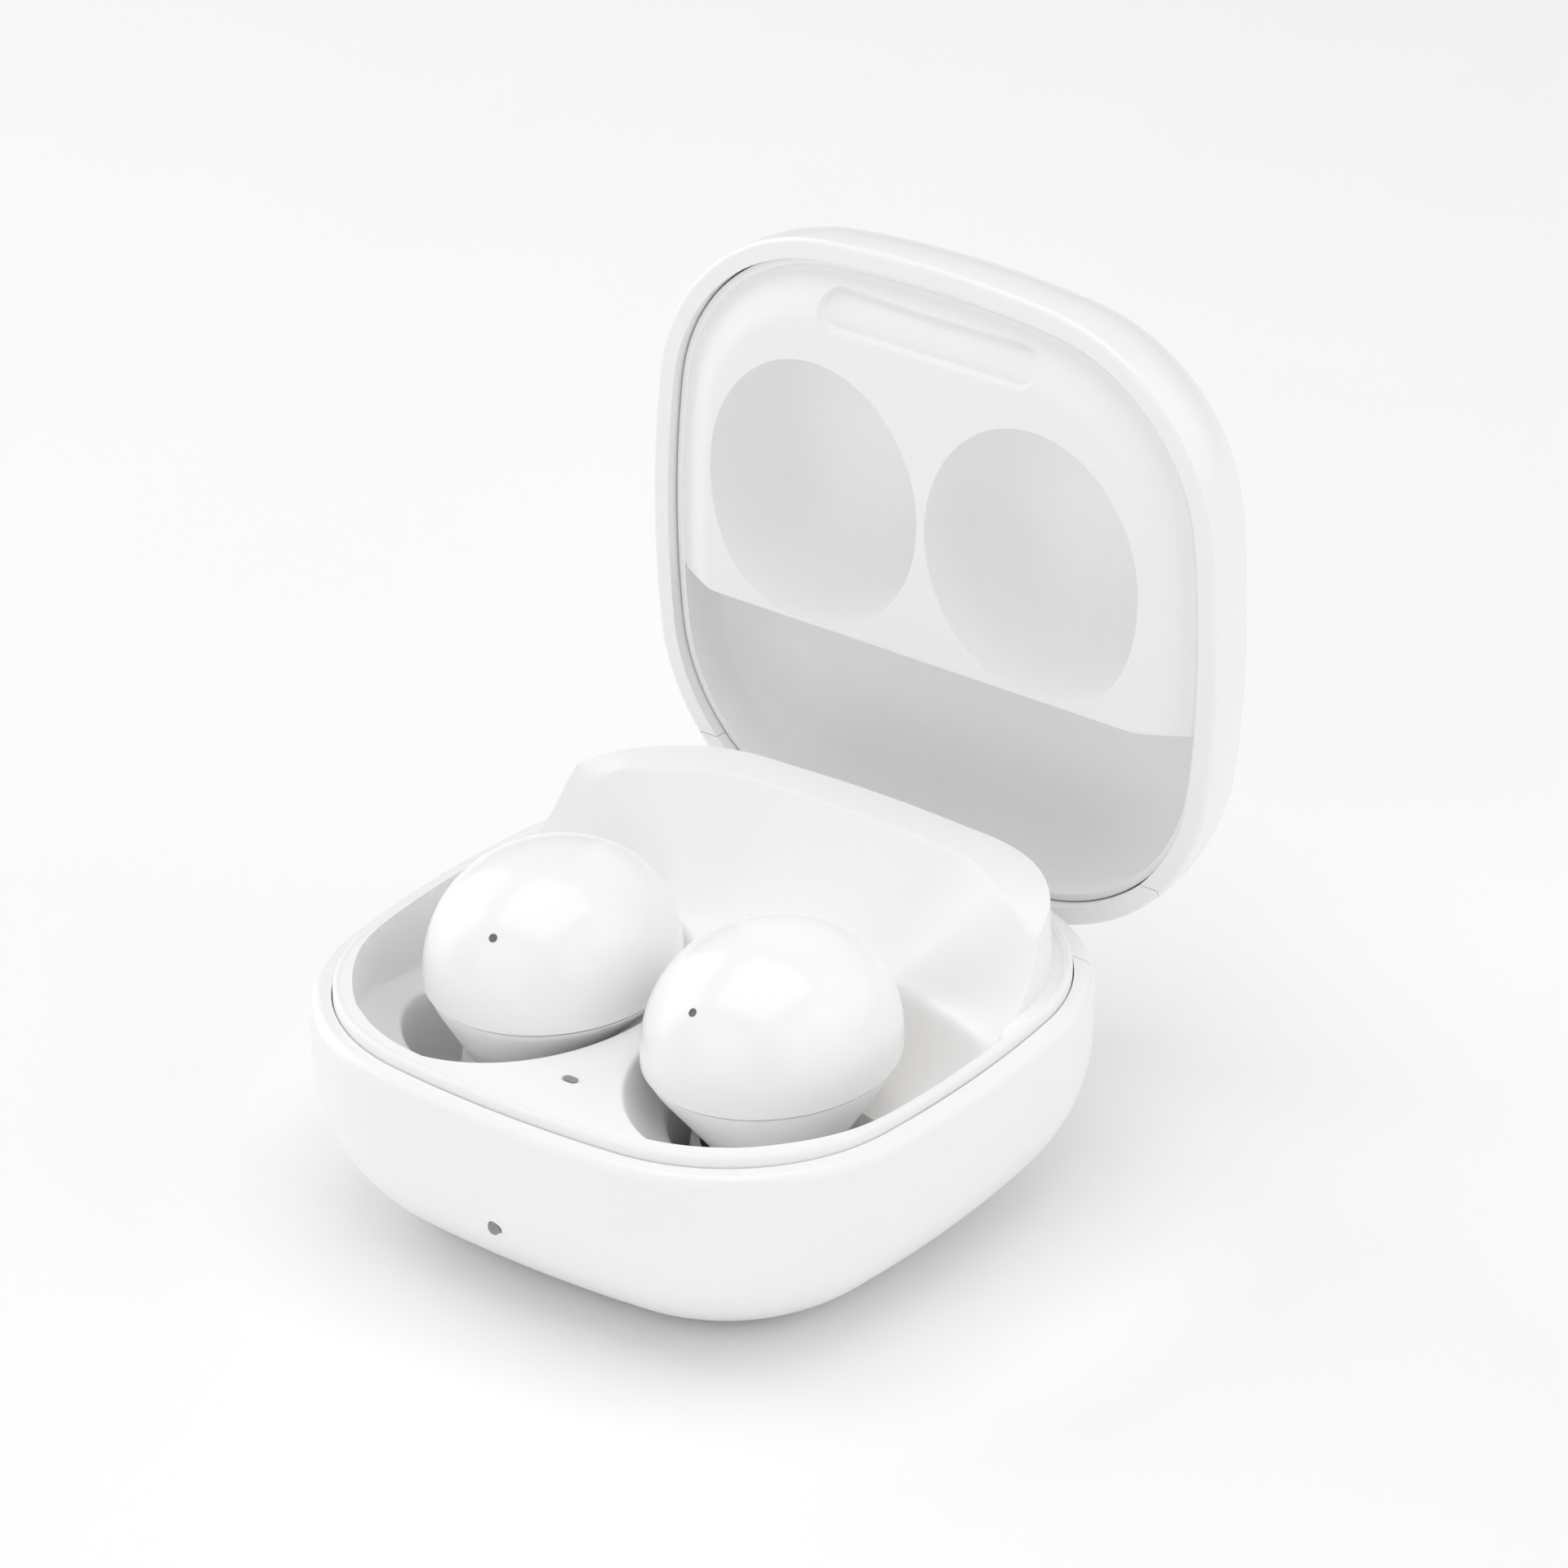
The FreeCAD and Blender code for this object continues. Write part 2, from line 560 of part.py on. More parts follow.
barrels = []
cradle_magnets = []
for side, sign in SIDES:
    pogo_x = "%d*dims.bud_offset" % sign
    holder = mid_block("pogo_holder_" + side, "3.6", "dims.pogo_back - 1.4", "dims.barrel_low",
                       "2.8", "2.9", pogo_x)
    holes = []
    for pin_tag, pin_sign in (("outer", 1), ("inner", -1)):
        tag = "%s_%s" % (side, pin_tag)
        pin_x = "%d*(dims.bud_offset + %d*dims.pogo_spread)" % (sign, pin_sign)
        place = (pin_x, "dims.pogo_back")
        holes.append(primitive("Cylinder", "holder_bore_" + tag, *place, "dims.barrel_low - 0.3",
                               Radius="dims.barrel_wall_radius", Height="4"))
        wall = primitive("Cylinder", "barrel_wall_" + tag, *place, "dims.barrel_low",
                         Radius="dims.barrel_wall_radius", Height="4.9")
        core = primitive("Cylinder", "barrel_core_" + tag, *place, "dims.barrel_low + 0.3",
                         Radius="dims.barrel_bore_radius", Height="6")
        barrels.append(cut("barrel_" + tag, wall, core))
        stem = primitive("Cylinder", "pin_stem_" + tag, *place, "dims.pin_stem_low",
                         Radius="dims.pogo_radius",
                         Height="dims.pogo_tip - dims.pin_stem_low - dims.pogo_radius")
        nose = primitive("Sphere", "pin_nose_" + tag, *place, "dims.pogo_tip - dims.pogo_radius",
                         Radius="dims.pogo_radius")
        node(fuse("pogo_pin_" + tag, [stem, nose]), "pogo_pin_" + tag)
        coil = primitive("Helix", "spring_line_" + tag, *place, "dims.spring_low",
                         Pitch="dims.spring_radius", Height="4*dims.spring_radius",
                         Radius="dims.spring_radius")
        doc.recompute()
        wire = Part.Wire(coil.Shape.Edges)
        first = wire.Edges[0]
        start = first.valueAt(first.FirstParameter)
        heading = first.tangentAt(first.FirstParameter)
        section = Part.Wire([Part.makeCircle(0.08, start, heading)])
        spring = doc.addObject("Part::Feature", "pogo_spring_" + tag)
        spring.Shape = wire.makePipeShell([section], True, True)
        node(spring, "pogo_spring_" + tag)
    node(cut("pogo_body_" + side, holder, *holes), "pogo_block_" + side)
    cradle_magnets.append(mid_block("cradle_magnet_" + side, "1.6", "-17.4", "6.4", "2.2", "3.0",
                                    "%d*9.6" % sign))
node(fuse("pogo_barrel_set", barrels), "pogo_barrels")
node(fuse("cradle_magnet_pair", cradle_magnets), "cradle_magnets")


# ---- hinge ---------------------------------------------------------------------------------

AXIS = ("dims.hinge_depth", "dims.hinge_height")
knuckle_half = "(dims.hinge_half - dims.barrel_half - dims.hinge_gap)/2"
bracket = [mid_block("hinge_foot", "dims.hinge_half - 1.6", "21.2", "10.9", "1.2", "1.2")]
for tag, sign in SIDES:
    knuckle_x = "%d*(dims.hinge_half - (%s))" % (sign, knuckle_half)
    bracket.append(tube_along_x("knuckle_" + tag, knuckle_half, *AXIS, "dims.barrel_radius", knuckle_x))
    web_x = "%d*(dims.hinge_half - (%s) - 0.9)" % (sign, knuckle_half)
    web_half = knuckle_half + " - 0.9"
    bracket.append(mid_block("web_low_" + tag, web_half, "21.6", "11.2", "0.9", "1.4", web_x))
    bracket.append(mid_block("web_high_" + tag, web_half, "21.8", "12.25", "1.5", "1.6", web_x))
bracket_bore = tube_along_x("bracket_bore", "dims.hinge_half - 0.5", *AXIS, "dims.pin_radius")
node(cut("bracket", fuse("bracket_whole", bracket), bracket_bore), "hinge_bracket")
node(tube_along_x("pin", "dims.hinge_half - 0.5", *AXIS, "dims.pin_radius"), "hinge_pin")
node(mid_block("detent_spring", "5.5", "21.6", "12.4", "0.12", "2.8"), "hinge_detent_spring")

barrel = tube_along_x("lid_barrel", "dims.barrel_half", *AXIS, "dims.barrel_radius")
arm = mid_block("arm", "dims.barrel_half", "dims.hinge_depth - 0.6", "dims.hinge_height", "1.7",
                "dims.cheek_top - dims.hinge_height")
cheek_ring = slab("cheek_ring", "0", "dims.lid_bottom", "dims.cheek_top", "dims.lid_lip_radius")
cheek_inside = slab("cheek_inside", "dims.shell_wall", "dims.lid_bottom - 1", "dims.cheek_top + 1")
cheek_reach = mid_block("cheek_reach", "dims.cover_half", "dims.cover_front", "dims.lid_bottom",
                        "10", "10")
cheek = cut("cheek", common("cheek_whole", cheek_ring, cheek_reach), cheek_inside)
lid_bore = tube_along_x("lid_bore", "dims.barrel_half + 1", *AXIS, "dims.pin_radius + dims.pin_gap")
leaf_bores = []
screws = []
screw_room = []
for side, sign in SIDES:
    spot = ("%d*dims.leaf_screw_offset" % sign, "dims.leaf_screw_depth")
    leaf_bores.append(primitive("Cylinder", "leaf_bore_" + side, *spot, "dims.cheek_top - 4",
                                Radius="dims.leaf_screw_radius + 0.02", Height="5"))
    screws.append(primitive("Cylinder", "leaf_screw_" + side, *spot, "dims.lid_bottom + 0.3",
                            Radius="dims.leaf_screw_radius",
                            Height="dims.cheek_top - dims.lid_bottom + 0.9"))
    screw_room.append(primitive("Cylinder", "screw_room_" + side, *spot, "dims.cheek_top - 1",
                                Radius="dims.leaf_screw_radius + dims.fit", Height="2.4"))
leaf = cut("leaf", fuse("leaf_whole", [barrel, arm, cheek]), lid_bore, *leaf_bores)
node(opened(leaf), "lid_hinge_leaf")
node(opened(fuse("leaf_screws", screws)), "lid_hinge_screws")


# ---- lid ------------------------------------------------------------------------------------

lid_outside = slab("lid_outside", "0", "dims.lid_bottom", "dims.lid_top", "dims.lid_lip_radius",
                   "dims.lid_round")
lid_inside = slab("lid_inside", "dims.shell_wall", "dims.lid_bottom - 1",
                  "dims.lid_top - dims.lid_roof", None, "dims.lid_round - dims.lid_roof")
lid_notch = mid_block("lid_notch", "dims.cover_half + dims.cover_gap",
                      "dims.cover_front - dims.cover_gap", "dims.lid_bottom - 1", "10",
                      "dims.cheek_top - dims.lid_bottom + 1")
node(opened(cut("lid_cup", lid_outside, lid_inside, lid_notch, *screw_room)), "lid_shell")

liner_rim_plate = slab("liner_rim_plate", "dims.liner_inset", "dims.liner_rim", "dims.liner_plate_top")
liner_front = slab("liner_front", "dims.liner_face_inset", "dims.liner_face", "dims.liner_plate_top",
                   "dims.liner_face_round")
front_half = mid_block("front_half", "dims.case_half + 1", "-dims.case_half - 1",
                       "dims.liner_face - 1", "dims.case_half + dims.swoop_depth + 1", "5")
liner_face = common("liner_face", liner_front, front_half)
rear_half = mid_block("rear_half", "dims.case_half + 1", "dims.swoop_depth - 1", "dims.liner_rim",
                      "dims.case_half", "12")
rear_skin_block = slab("rear_skin_block", "dims.liner_inset + 0.1", "dims.liner_rim - 1",
                       "dims.lid_top - dims.lid_roof - 0.1", None, "dims.lid_round - dims.lid_roof")
rear_skin = common("rear_skin", rear_skin_block, rear_half)
cavity_half = mid_block("cavity_half", "dims.case_half + 1", "dims.swoop_depth",
                        "dims.liner_face - 2", "dims.case_half", "12")
rear_cavity_block = slab("rear_cavity_block", "dims.rear_cavity_inset", "dims.liner_face - 1",
                         "dims.rear_cavity_top", None, "dims.rear_cavity_round")
rear_cavity = common("rear_cavity", rear_cavity_block, cavity_half)
recess_skins = []
recesses = []
for side, sign in SIDES:
    recess = ("%d*(dims.bud_offset - 0.1)" % sign, "dims.bud_back + 0.1", "dims.dome_middle")
    skin = ellipsoid("recess_skin_" + side, *recess, "dims.bud_half_width + 1.3",
                     "dims.bud_half_length + 1.1", "dims.dome_height + 0.8")
    above_face = slab("above_face_" + side, "dims.liner_inset + 0.6", "dims.liner_face + 1",
                      "dims.lid_top - dims.lid_roof - 0.1", None, "dims.lid_round - dims.lid_roof")
    recess_skins.append(common("recess_wall_" + side, skin, above_face))
    recesses.append(ellipsoid("recess_dome_" + side, *recess, "dims.bud_half_width + 0.5",
                              "dims.bud_half_length + 0.25", "dims.dome_height + 0.35"))
    unit_mouth = primitive("Cylinder", "recess_mouth_" + side, Radius="1", Height="1")
    stretch = FreeCAD.Matrix()
    stretch.scale(size("bud_half_width") + 0.5, size("bud_half_length") + 0.25, 4.0)
    doc.recompute()
    mouth = doc.addObject("Part::Feature", "recess_mouth_oval_" + side)
    mouth.Shape = unit_mouth.Shape.transformGeometry(stretch)
    mouth_spot = V(sign * (size("bud_offset") - 0.1), size("bud_back") + 0.1, size("dome_middle") - 4)
    mouth.Placement = FreeCAD.Placement(mouth_spot, FreeCAD.Rotation())
    recesses.append(mouth)
label_recess = stadium("label_recess", "9.25", "1.5", "0", "-20.2", "dims.liner_face - 1", "1.35",
                       along="z")
liner_whole = fuse("liner_whole", [liner_rim_plate, liner_face, rear_skin] + recess_skins)
liner_notch = mid_block("liner_notch", "dims.arm_room_half", "22.0", "dims.liner_rim - 1", "10",
                        "dims.cheek_top - dims.liner_rim + 1.1")
liner = cut("liner", liner_whole, rear_cavity, liner_notch, label_recess, *recesses)
node(opened(liner), "lid_liner")

lid_magnets = []
for side, sign in SIDES:
    lid_magnets.append(mid_block("lid_magnet_" + side, "dims.magnet_half", "dims.magnet_front",
                                 "dims.liner_plate_top + 0.1", "dims.magnet_depth", "1.6",
                                 "%d*dims.magnet_offset" % sign))
node(opened(fuse("lid_magnet_pair", lid_magnets)), "lid_closing_magnets")


# ---- earbuds --------------------------------------------------------------------------------

for side, sign in SIDES:
    bud_x = "%d*dims.bud_offset" % sign
    centre = (bud_x, "dims.bud_back")
    neck = ("%d*dims.neck_offset" % sign, "dims.neck_back")
    mic = ("%d*dims.mic_offset" % sign, "dims.mic_back")
    above_seam = mid_block("above_seam_" + side, "14", "-20", "dims.dome_seam", "30", "20", bud_x)
    below_seam = mid_block("below_seam_" + side, "14", "-20", "dims.dome_seam - dims.fit - 12", "30",
                           "12", bud_x)
    dome_skin = ellipsoid("dome_skin_" + side, *centre, "dims.dome_middle", "dims.bud_half_width",
                          "dims.bud_half_length", "dims.dome_height")
    dome_room = ellipsoid("dome_room_" + side, *centre, "dims.dome_middle",
                          "dims.bud_half_width - dims.dome_wall",
                          "dims.bud_half_length - dims.dome_wall", "dims.dome_height - dims.dome_wall")
    mic_bore = primitive("Cylinder", "mic_bore_" + side, *mic, "19", Radius="dims.mic_radius",
                         Height="6")
    dome_half = common("dome_half_" + side, dome_skin, above_seam)
    node(cut("dome_" + side, dome_half, dome_room, mic_bore), "earbud_dome_" + side)

    housing_skin = ellipsoid("housing_skin_" + side, *centre, "dims.dome_seam",
                             "dims.bud_half_width - 0.6", "dims.bud_half_length - 0.4",
                             "dims.body_drop")
    neck_cone = primitive("Cone", "neck_cone_" + side, *neck, "dims.neck_low",
                          Radius1="dims.neck_low_radius", Radius2="dims.neck_high_radius",
                          Height="dims.neck_tall")
    housing_room = ellipsoid("housing_room_" + side, *centre, "dims.dome_seam",
                             "dims.bud_half_width - 1.5", "dims.bud_half_length - 1.3",
                             "dims.body_drop - 0.8")
    throat = primitive("Cylinder", "throat_" + side, *neck, "7", Radius="dims.nozzle_radius",
                       Height="8")
    housing_fused = fuse("housing_fused_" + side, [housing_skin, neck_cone])
    housing_whole = common("housing_whole_" + side, housing_fused, below_seam)
    pads = []
    pad_bores = []
    for pin_tag, pin_sign in (("outer", 1), ("inner", -1)):
        pad_x = "%d*(dims.bud_offset + %d*dims.pogo_spread)" % (sign, pin_sign)
        for kind, group in (("contact", pads), ("contact_bore", pad_bores)):
            group.append(primitive("Cylinder", "%s_%s_%s" % (kind, side, pin_tag), pad_x,
                                   "dims.pogo_back", "dims.pogo_tip + dims.contact_gap",
                                   Radius="dims.contact_radius", Height="1.4"))
    node(cut("housing_" + side, housing_whole, housing_room, throat, *pad_bores),
         "earbud_housing_" + side)
    node(fuse("contacts_" + side, pads), "earbud_contacts_" + side)

    tip_skin = ellipsoid("tip_skin_" + side, *neck, "dims.tip_bottom + dims.tip_round",
                         "dims.tip_radius", "dims.tip_radius", "dims.tip_round")
    tip_skirt = primitive("Cone", "tip_skirt_" + side, *neck, "dims.tip_bottom + dims.tip_round",
                          Radius1="dims.tip_radius", Radius2="dims.tip_radius - 0.4",
                          Height="dims.tip_top - dims.tip_bottom - dims.tip_round")
    tip_room = ellipsoid("tip_room_" + side, *neck, "dims.tip_bottom + 3.9",
                         "dims.tip_radius - dims.tip_wall", "dims.tip_radius - dims.tip_wall", "3.0")
    room_top = primitive("Cylinder", "tip_room_top_" + side, *neck, "dims.tip_bottom + 3.9",
                         Radius="dims.tip_radius - 1", Height="6")
    tip_core = primitive("Cylinder", "tip_core_" + side, *neck, "dims.tip_bottom + 0.6",
                         Radius="2.9", Height="dims.tip_top - dims.tip_bottom - 1.6")
    tip_bore = primitive("Cylinder", "tip_bore_" + side, *neck, "0", Radius="1.5", Height="20")
    tip_outside = fuse("tip_outside_" + side, [tip_skin, tip_skirt])
    tip_cup = cut("tip_cup_" + side, tip_outside, tip_room, room_top)
    tip_whole = fuse("tip_whole_" + side, [tip_cup, tip_core])
    node(cut("tip_" + side, tip_whole, tip_bore, neck_cone), "earbud_tip_" + side)

    node(primitive("Cylinder", "nozzle_mesh_" + side, *neck, "dims.neck_low + 0.1",
                   Radius="dims.nozzle_radius", Height="0.25"), "earbud_nozzle_mesh_" + side)
    node(primitive("Cylinder", "mic_mesh_" + side, *mic, "21.15", Radius="dims.mic_radius",
                   Height="0.3"), "earbud_mic_mesh_" + side)
    # the stack inside, from the top down: touch pad, coin cell, board, speaker, cradle magnet
    node(primitive("Cylinder", "touch_pad_" + side, *centre, "22.6", Radius="3.6", Height="0.25"),
         "earbud_touch_pad_" + side)
    node(primitive("Cylinder", "coin_cell_" + side, *centre, "16.9", Radius="5.4", Height="4.4"),
         "earbud_battery_" + side)
    node(primitive("Cylinder", "bud_board_" + side, *centre, "15.8", Radius="6.2", Height="0.6"),
         "earbud_circuit_board_" + side)
    node(primitive("Cylinder", "driver_" + side, *centre, "14.3", Radius="4.4", Height="1.3"),
         "earbud_speaker_" + side)
    node(primitive("Cylinder", "bud_magnet_" + side, bud_x, "dims.bud_back - 6.7", "15.0",
                   Radius="0.8", Height="0.7"), "earbud_magnet_" + side)


# ---- check and write ------------------------------------------------------------------------

doc.recompute()
for obj in doc.Objects:
    bad = [flag for flag in obj.State if flag in ("Invalid", "Error")]
    if bad:
        raise RuntimeError("%s failed: %s" % (obj.Name, obj.State))
for obj in NODES:
    if obj.Shape.isNull() or not obj.Shape.isValid() or not obj.Shape.Solids:
        raise RuntimeError("%s is not a sound solid" % obj.Label)

os.makedirs("parts", exist_ok=True)
for obj in NODES:
    obj.Shape.exportStep(os.path.join("parts", obj.Label + ".step"))
print("wrote %d parts" % len(NODES))
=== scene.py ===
import json
import math

import bpy
import numpy as np
from mathutils import Matrix, Vector, geometry, kdtree


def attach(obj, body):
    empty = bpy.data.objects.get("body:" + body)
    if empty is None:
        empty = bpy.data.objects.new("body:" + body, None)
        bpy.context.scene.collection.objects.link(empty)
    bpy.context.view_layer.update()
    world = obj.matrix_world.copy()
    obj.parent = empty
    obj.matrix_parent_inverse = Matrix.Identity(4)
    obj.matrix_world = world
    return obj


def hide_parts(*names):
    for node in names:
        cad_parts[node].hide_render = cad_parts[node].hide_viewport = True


# Wireless earbuds case, open, white. Shapes below are worked out in millimetres in the row frame
# (+X right, -Y front, +Z up) and become metres when a mesh is made. The lid's pieces are shaped
# as if the lid were shut and then swung open about the hinge, the same way the frame is.

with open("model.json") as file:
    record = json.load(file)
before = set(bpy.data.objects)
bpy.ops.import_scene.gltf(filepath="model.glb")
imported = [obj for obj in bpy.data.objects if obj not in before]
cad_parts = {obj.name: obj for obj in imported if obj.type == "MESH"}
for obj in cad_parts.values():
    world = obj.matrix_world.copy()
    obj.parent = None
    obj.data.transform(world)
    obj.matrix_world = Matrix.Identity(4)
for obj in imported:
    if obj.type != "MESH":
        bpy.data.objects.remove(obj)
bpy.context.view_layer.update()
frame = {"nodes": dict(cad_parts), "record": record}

MM = 0.001
HINGE_Y, HINGE_Z = 23.5, 13.9

# case outline seen from above
CASE_HALF = 25.0
SIDE_RADIUS = 90.0
CORNER_RADIUS = 16.4

SIDES = (("left", -1), ("right", 1))


# ---- curves and blends --------------------------------------------------------------------

SIDE_CENTRE = CASE_HALF - SIDE_RADIUS
CORNER_REACH = (SIDE_CENTRE + math.sqrt(2 * (SIDE_RADIUS - CORNER_RADIUS) ** 2 - SIDE_CENTRE ** 2)) / 2
LEAN = math.atan2(CORNER_REACH, CORNER_REACH - SIDE_CENTRE)
SIDE_STEPS, CORNER_STEPS = 50, 64


def outline_frames():
    """Arc centre, arc radius and outward direction at every step round the outline."""
    centres, radii, headings = [], [], []
    for quarter in range(4):
        turn = quarter * math.pi / 2
        for step in range(SIDE_STEPS):
            centres.append((SIDE_CENTRE * math.cos(turn), SIDE_CENTRE * math.sin(turn)))
            radii.append(SIDE_RADIUS)
            headings.append(turn - LEAN + 2 * LEAN * step / SIDE_STEPS)
        diagonal = turn + math.pi / 4
        corner = CORNER_REACH * math.sqrt(2)
        for step in range(CORNER_STEPS):
            centres.append((corner * math.cos(diagonal), corner * math.sin(diagonal)))
            radii.append(CORNER_RADIUS)
            headings.append(turn + LEAN + (math.pi / 2 - 2 * LEAN) * step / CORNER_STEPS)
    headings = np.array(headings)
    return np.array(centres), np.array(radii), np.c_[np.cos(headings), np.sin(headings)]


CENTRES, RADII, OUTWARD = outline_frames()


def ring(inset):
    """The outline moved inwards by a distance, as points in the plane."""
    return CENTRES + (RADII - inset)[:, None] * OUTWARD


def inset_of(x, y):
    """How far inside the outline a point lies."""
    ax, ay = np.abs(x), np.abs(y)
    heading = np.arctan2(ay - CORNER_REACH, ax - CORNER_REACH)
    in_corner = (heading >= LEAN) & (heading <= math.pi / 2 - LEAN)
    corner = CORNER_RADIUS - np.hypot(ax - CORNER_REACH, ay - CORNER_REACH)
    across = SIDE_RADIUS - np.hypot(ax - SIDE_CENTRE, ay)
    along = SIDE_RADIUS - np.hypot(ax, ay - SIDE_CENTRE)
    return np.where(in_corner, corner, np.minimum(across, along))


def walk_of(x, y):
    """Distance round the outline from the middle of the nearer side wall, positive to the rear."""
    ax, ay = np.abs(x), np.abs(y)
    heading = np.arctan2(ay - CORNER_REACH, ax - CORNER_REACH)
    side_run = SIDE_RADIUS * LEAN
    corner_run = CORNER_RADIUS * (math.pi / 2 - 2 * LEAN)
    on_side = SIDE_RADIUS * np.arctan2(ay, ax - SIDE_CENTRE)
    on_corner = side_run + CORNER_RADIUS * (heading - LEAN)
    on_end = 2 * side_run + corner_run - SIDE_RADIUS * np.arctan2(ax, ay - SIDE_CENTRE)
    in_corner = (heading >= LEAN) & (heading <= math.pi / 2 - LEAN)
    return np.sign(y) * np.where(in_corner, on_corner, np.where(ax > ay, on_side, on_end))


def ease(start, end, value):
    t = np.clip((value - start) / (end - start), 0, 1)
    return t * t * (3 - 2 * t)


def lower_of(a, b, width):
    """The lower of two heights, with the edge between them rounded."""
    share = np.clip(0.5 + 0.5 * (b - a) / width, 0, 1)
    return b + (a - b) * share - width * share * (1 - share)


def higher_of(a, b, width):
    return -lower_of(-a, -b, width)


def arc_points(centre, radius, start, end, count):
    """Points on an arc in the (inset, height) plane, angles in degrees."""
    angles = np.radians(np.linspace(start, end, count))
    return [(centre[0] + radius * math.cos(a), centre[1] + radius * math.sin(a)) for a in angles]


# ---- meshes -------------------------------------------------------------------------------

def swing_open(points):
    """Points of the shut lid, carried to where they are with the lid open at a right angle."""
    x, y, z = points.T
    return np.c_[x, z - HINGE_Z + HINGE_Y, HINGE_Y - y + HINGE_Z]


def build(name, points, faces, body, material, stands_for=(), smooth_angle=40):
    """A closed mesh from points in millimetres, riding on a body."""
    mesh = bpy.data.meshes.new(name)
    mesh.from_pydata((np.asarray(points) * MM).tolist(), [], faces)
    mesh.validate()
    piece = bpy.data.objects.new(name, mesh)
    bpy.context.scene.collection.objects.link(piece)
    mesh.materials.append(material)
    for polygon in mesh.polygons:
        polygon.use_smooth = True
    mesh.set_sharp_from_angle(angle=math.radians(smooth_angle))
    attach(piece, body)
    if stands_for:
        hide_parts(*stands_for)
    return piece


def loft_faces(rows, around, closed_end=False):
    """Quads between rings of equal length; closed_end joins the last ring to the first."""
    faces = []
    last = rows if closed_end else rows - 1
    for row in range(last):
        low, high = row * around, ((row + 1) % rows) * around
        for step in range(around):
            after = (step + 1) % around
            faces.append((low + step, low + after, high + after, high + step))
    return faces


def stack(rings):
    """Rings of (x, y) with one height or one height per point, as one list of points."""
    rows = []
    for plan, height in rings:
        rows.append(np.c_[plan, np.broadcast_to(height, len(plan))])
    return np.vstack(rows)


def mirrored(line):
    """A closed line for the right side, with its twin for the left side."""
    return [line, line * (-1, 1)]


def filled_plan(border_inset, lines, spacing):
    """Points and triangles that fill the outline inside an inset. Triangle edges follow every
    line, so what is shaped along a line stays crisp, and an even grid fills the room between."""
    points = list(map(tuple, ring(border_inset)))
    around = len(points)
    edges = [(step, (step + 1) % around) for step in range(around)]
    for line in lines:
        inside = inset_of(*line.T) > border_inset + 0.04
        start = len(points)
        numbers = start + np.cumsum(inside) - 1
        points.extend(map(tuple, line[inside]))
        for step in range(len(line)):
            after = (step + 1) % len(line)
            near = abs(line[step] - line[after]).max() < 2.0
            if inside[step] and inside[after] and near:
                edges.append((int(numbers[step]), int(numbers[after])))
    crowded = kdtree.KDTree(len(points))
    for number, point in enumerate(points):
        crowded.insert((*point, 0), number)
    crowded.balance()
    rows = np.arange(-CASE_HALF, CASE_HALF, spacing * 0.866)
    for count, y in enumerate(rows):
        xs = np.arange(-CASE_HALF, CASE_HALF, spacing) + spacing / 2 * (count % 2)
        for x in xs[inset_of(xs, np.full(len(xs), y)) > border_inset + 0.4 * spacing]:
            if crowded.find((x, y, 0))[2] > 0.55 * spacing:
                points.append((float(x), float(y)))
    vectors = [Vector((float(x), float(y))) for x, y in points]
    found, _, triangles, sources, _, _ = geometry.delaunay_2d_cdt(vectors, edges, [], 0, 1e-5)
    plan = np.array([(v.x, v.y) for v in found])
    border = [0] * around
    for number, origin in enumerate(sources):
        for old in origin:
            if old < around:
                border[old] = number
    upward = []
    for a, b, c in triangles:
        (ax, ay), (bx, by), (cx, cy) = plan[a], plan[b], plan[c]
        turn = (bx - ax) * (cy - ay) - (by - ay) * (cx - ax)
        if abs(turn) > 1e-9:
            upward.append((a, b, c) if turn > 0 else (a, c, b))
    return plan, upward, border


def shaped_pan(wall, lines, spacing, top_height, under_height):
    """Points and faces of a closed body: an outer wall given as (inset, height) from the bottom
    up, a top that follows top_height(x, y) in from the wall, and an underside."""
    plan, triangles, border = filled_plan(wall[-1][0], lines, spacing)
    top = np.c_[plan, top_height(*plan.T)]
    under = np.c_[plan, under_height(*plan.T)]
    rings = stack([(ring(inset), height) for inset, height in wall[:-1]])
    points = np.vstack([top, under, rings])
    around, low, first = len(border), len(plan), 2 * len(plan)
    faces = list(triangles)
    faces += [(low + c, low + b, low + a) for a, b, c in triangles]
    faces += [tuple(first + corner for corner in face) for face in loft_faces(len(wall) - 1, around)]
    last = first + (len(wall) - 2) * around
    for step in range(around):
        after = (step + 1) % around
        faces.append((last + step, last + after, border[after], border[step]))
        faces.append((low + border[step], low + border[after], first + after, first + step))
    return points, faces


# ---- materials ----------------------------------------------------------------------------

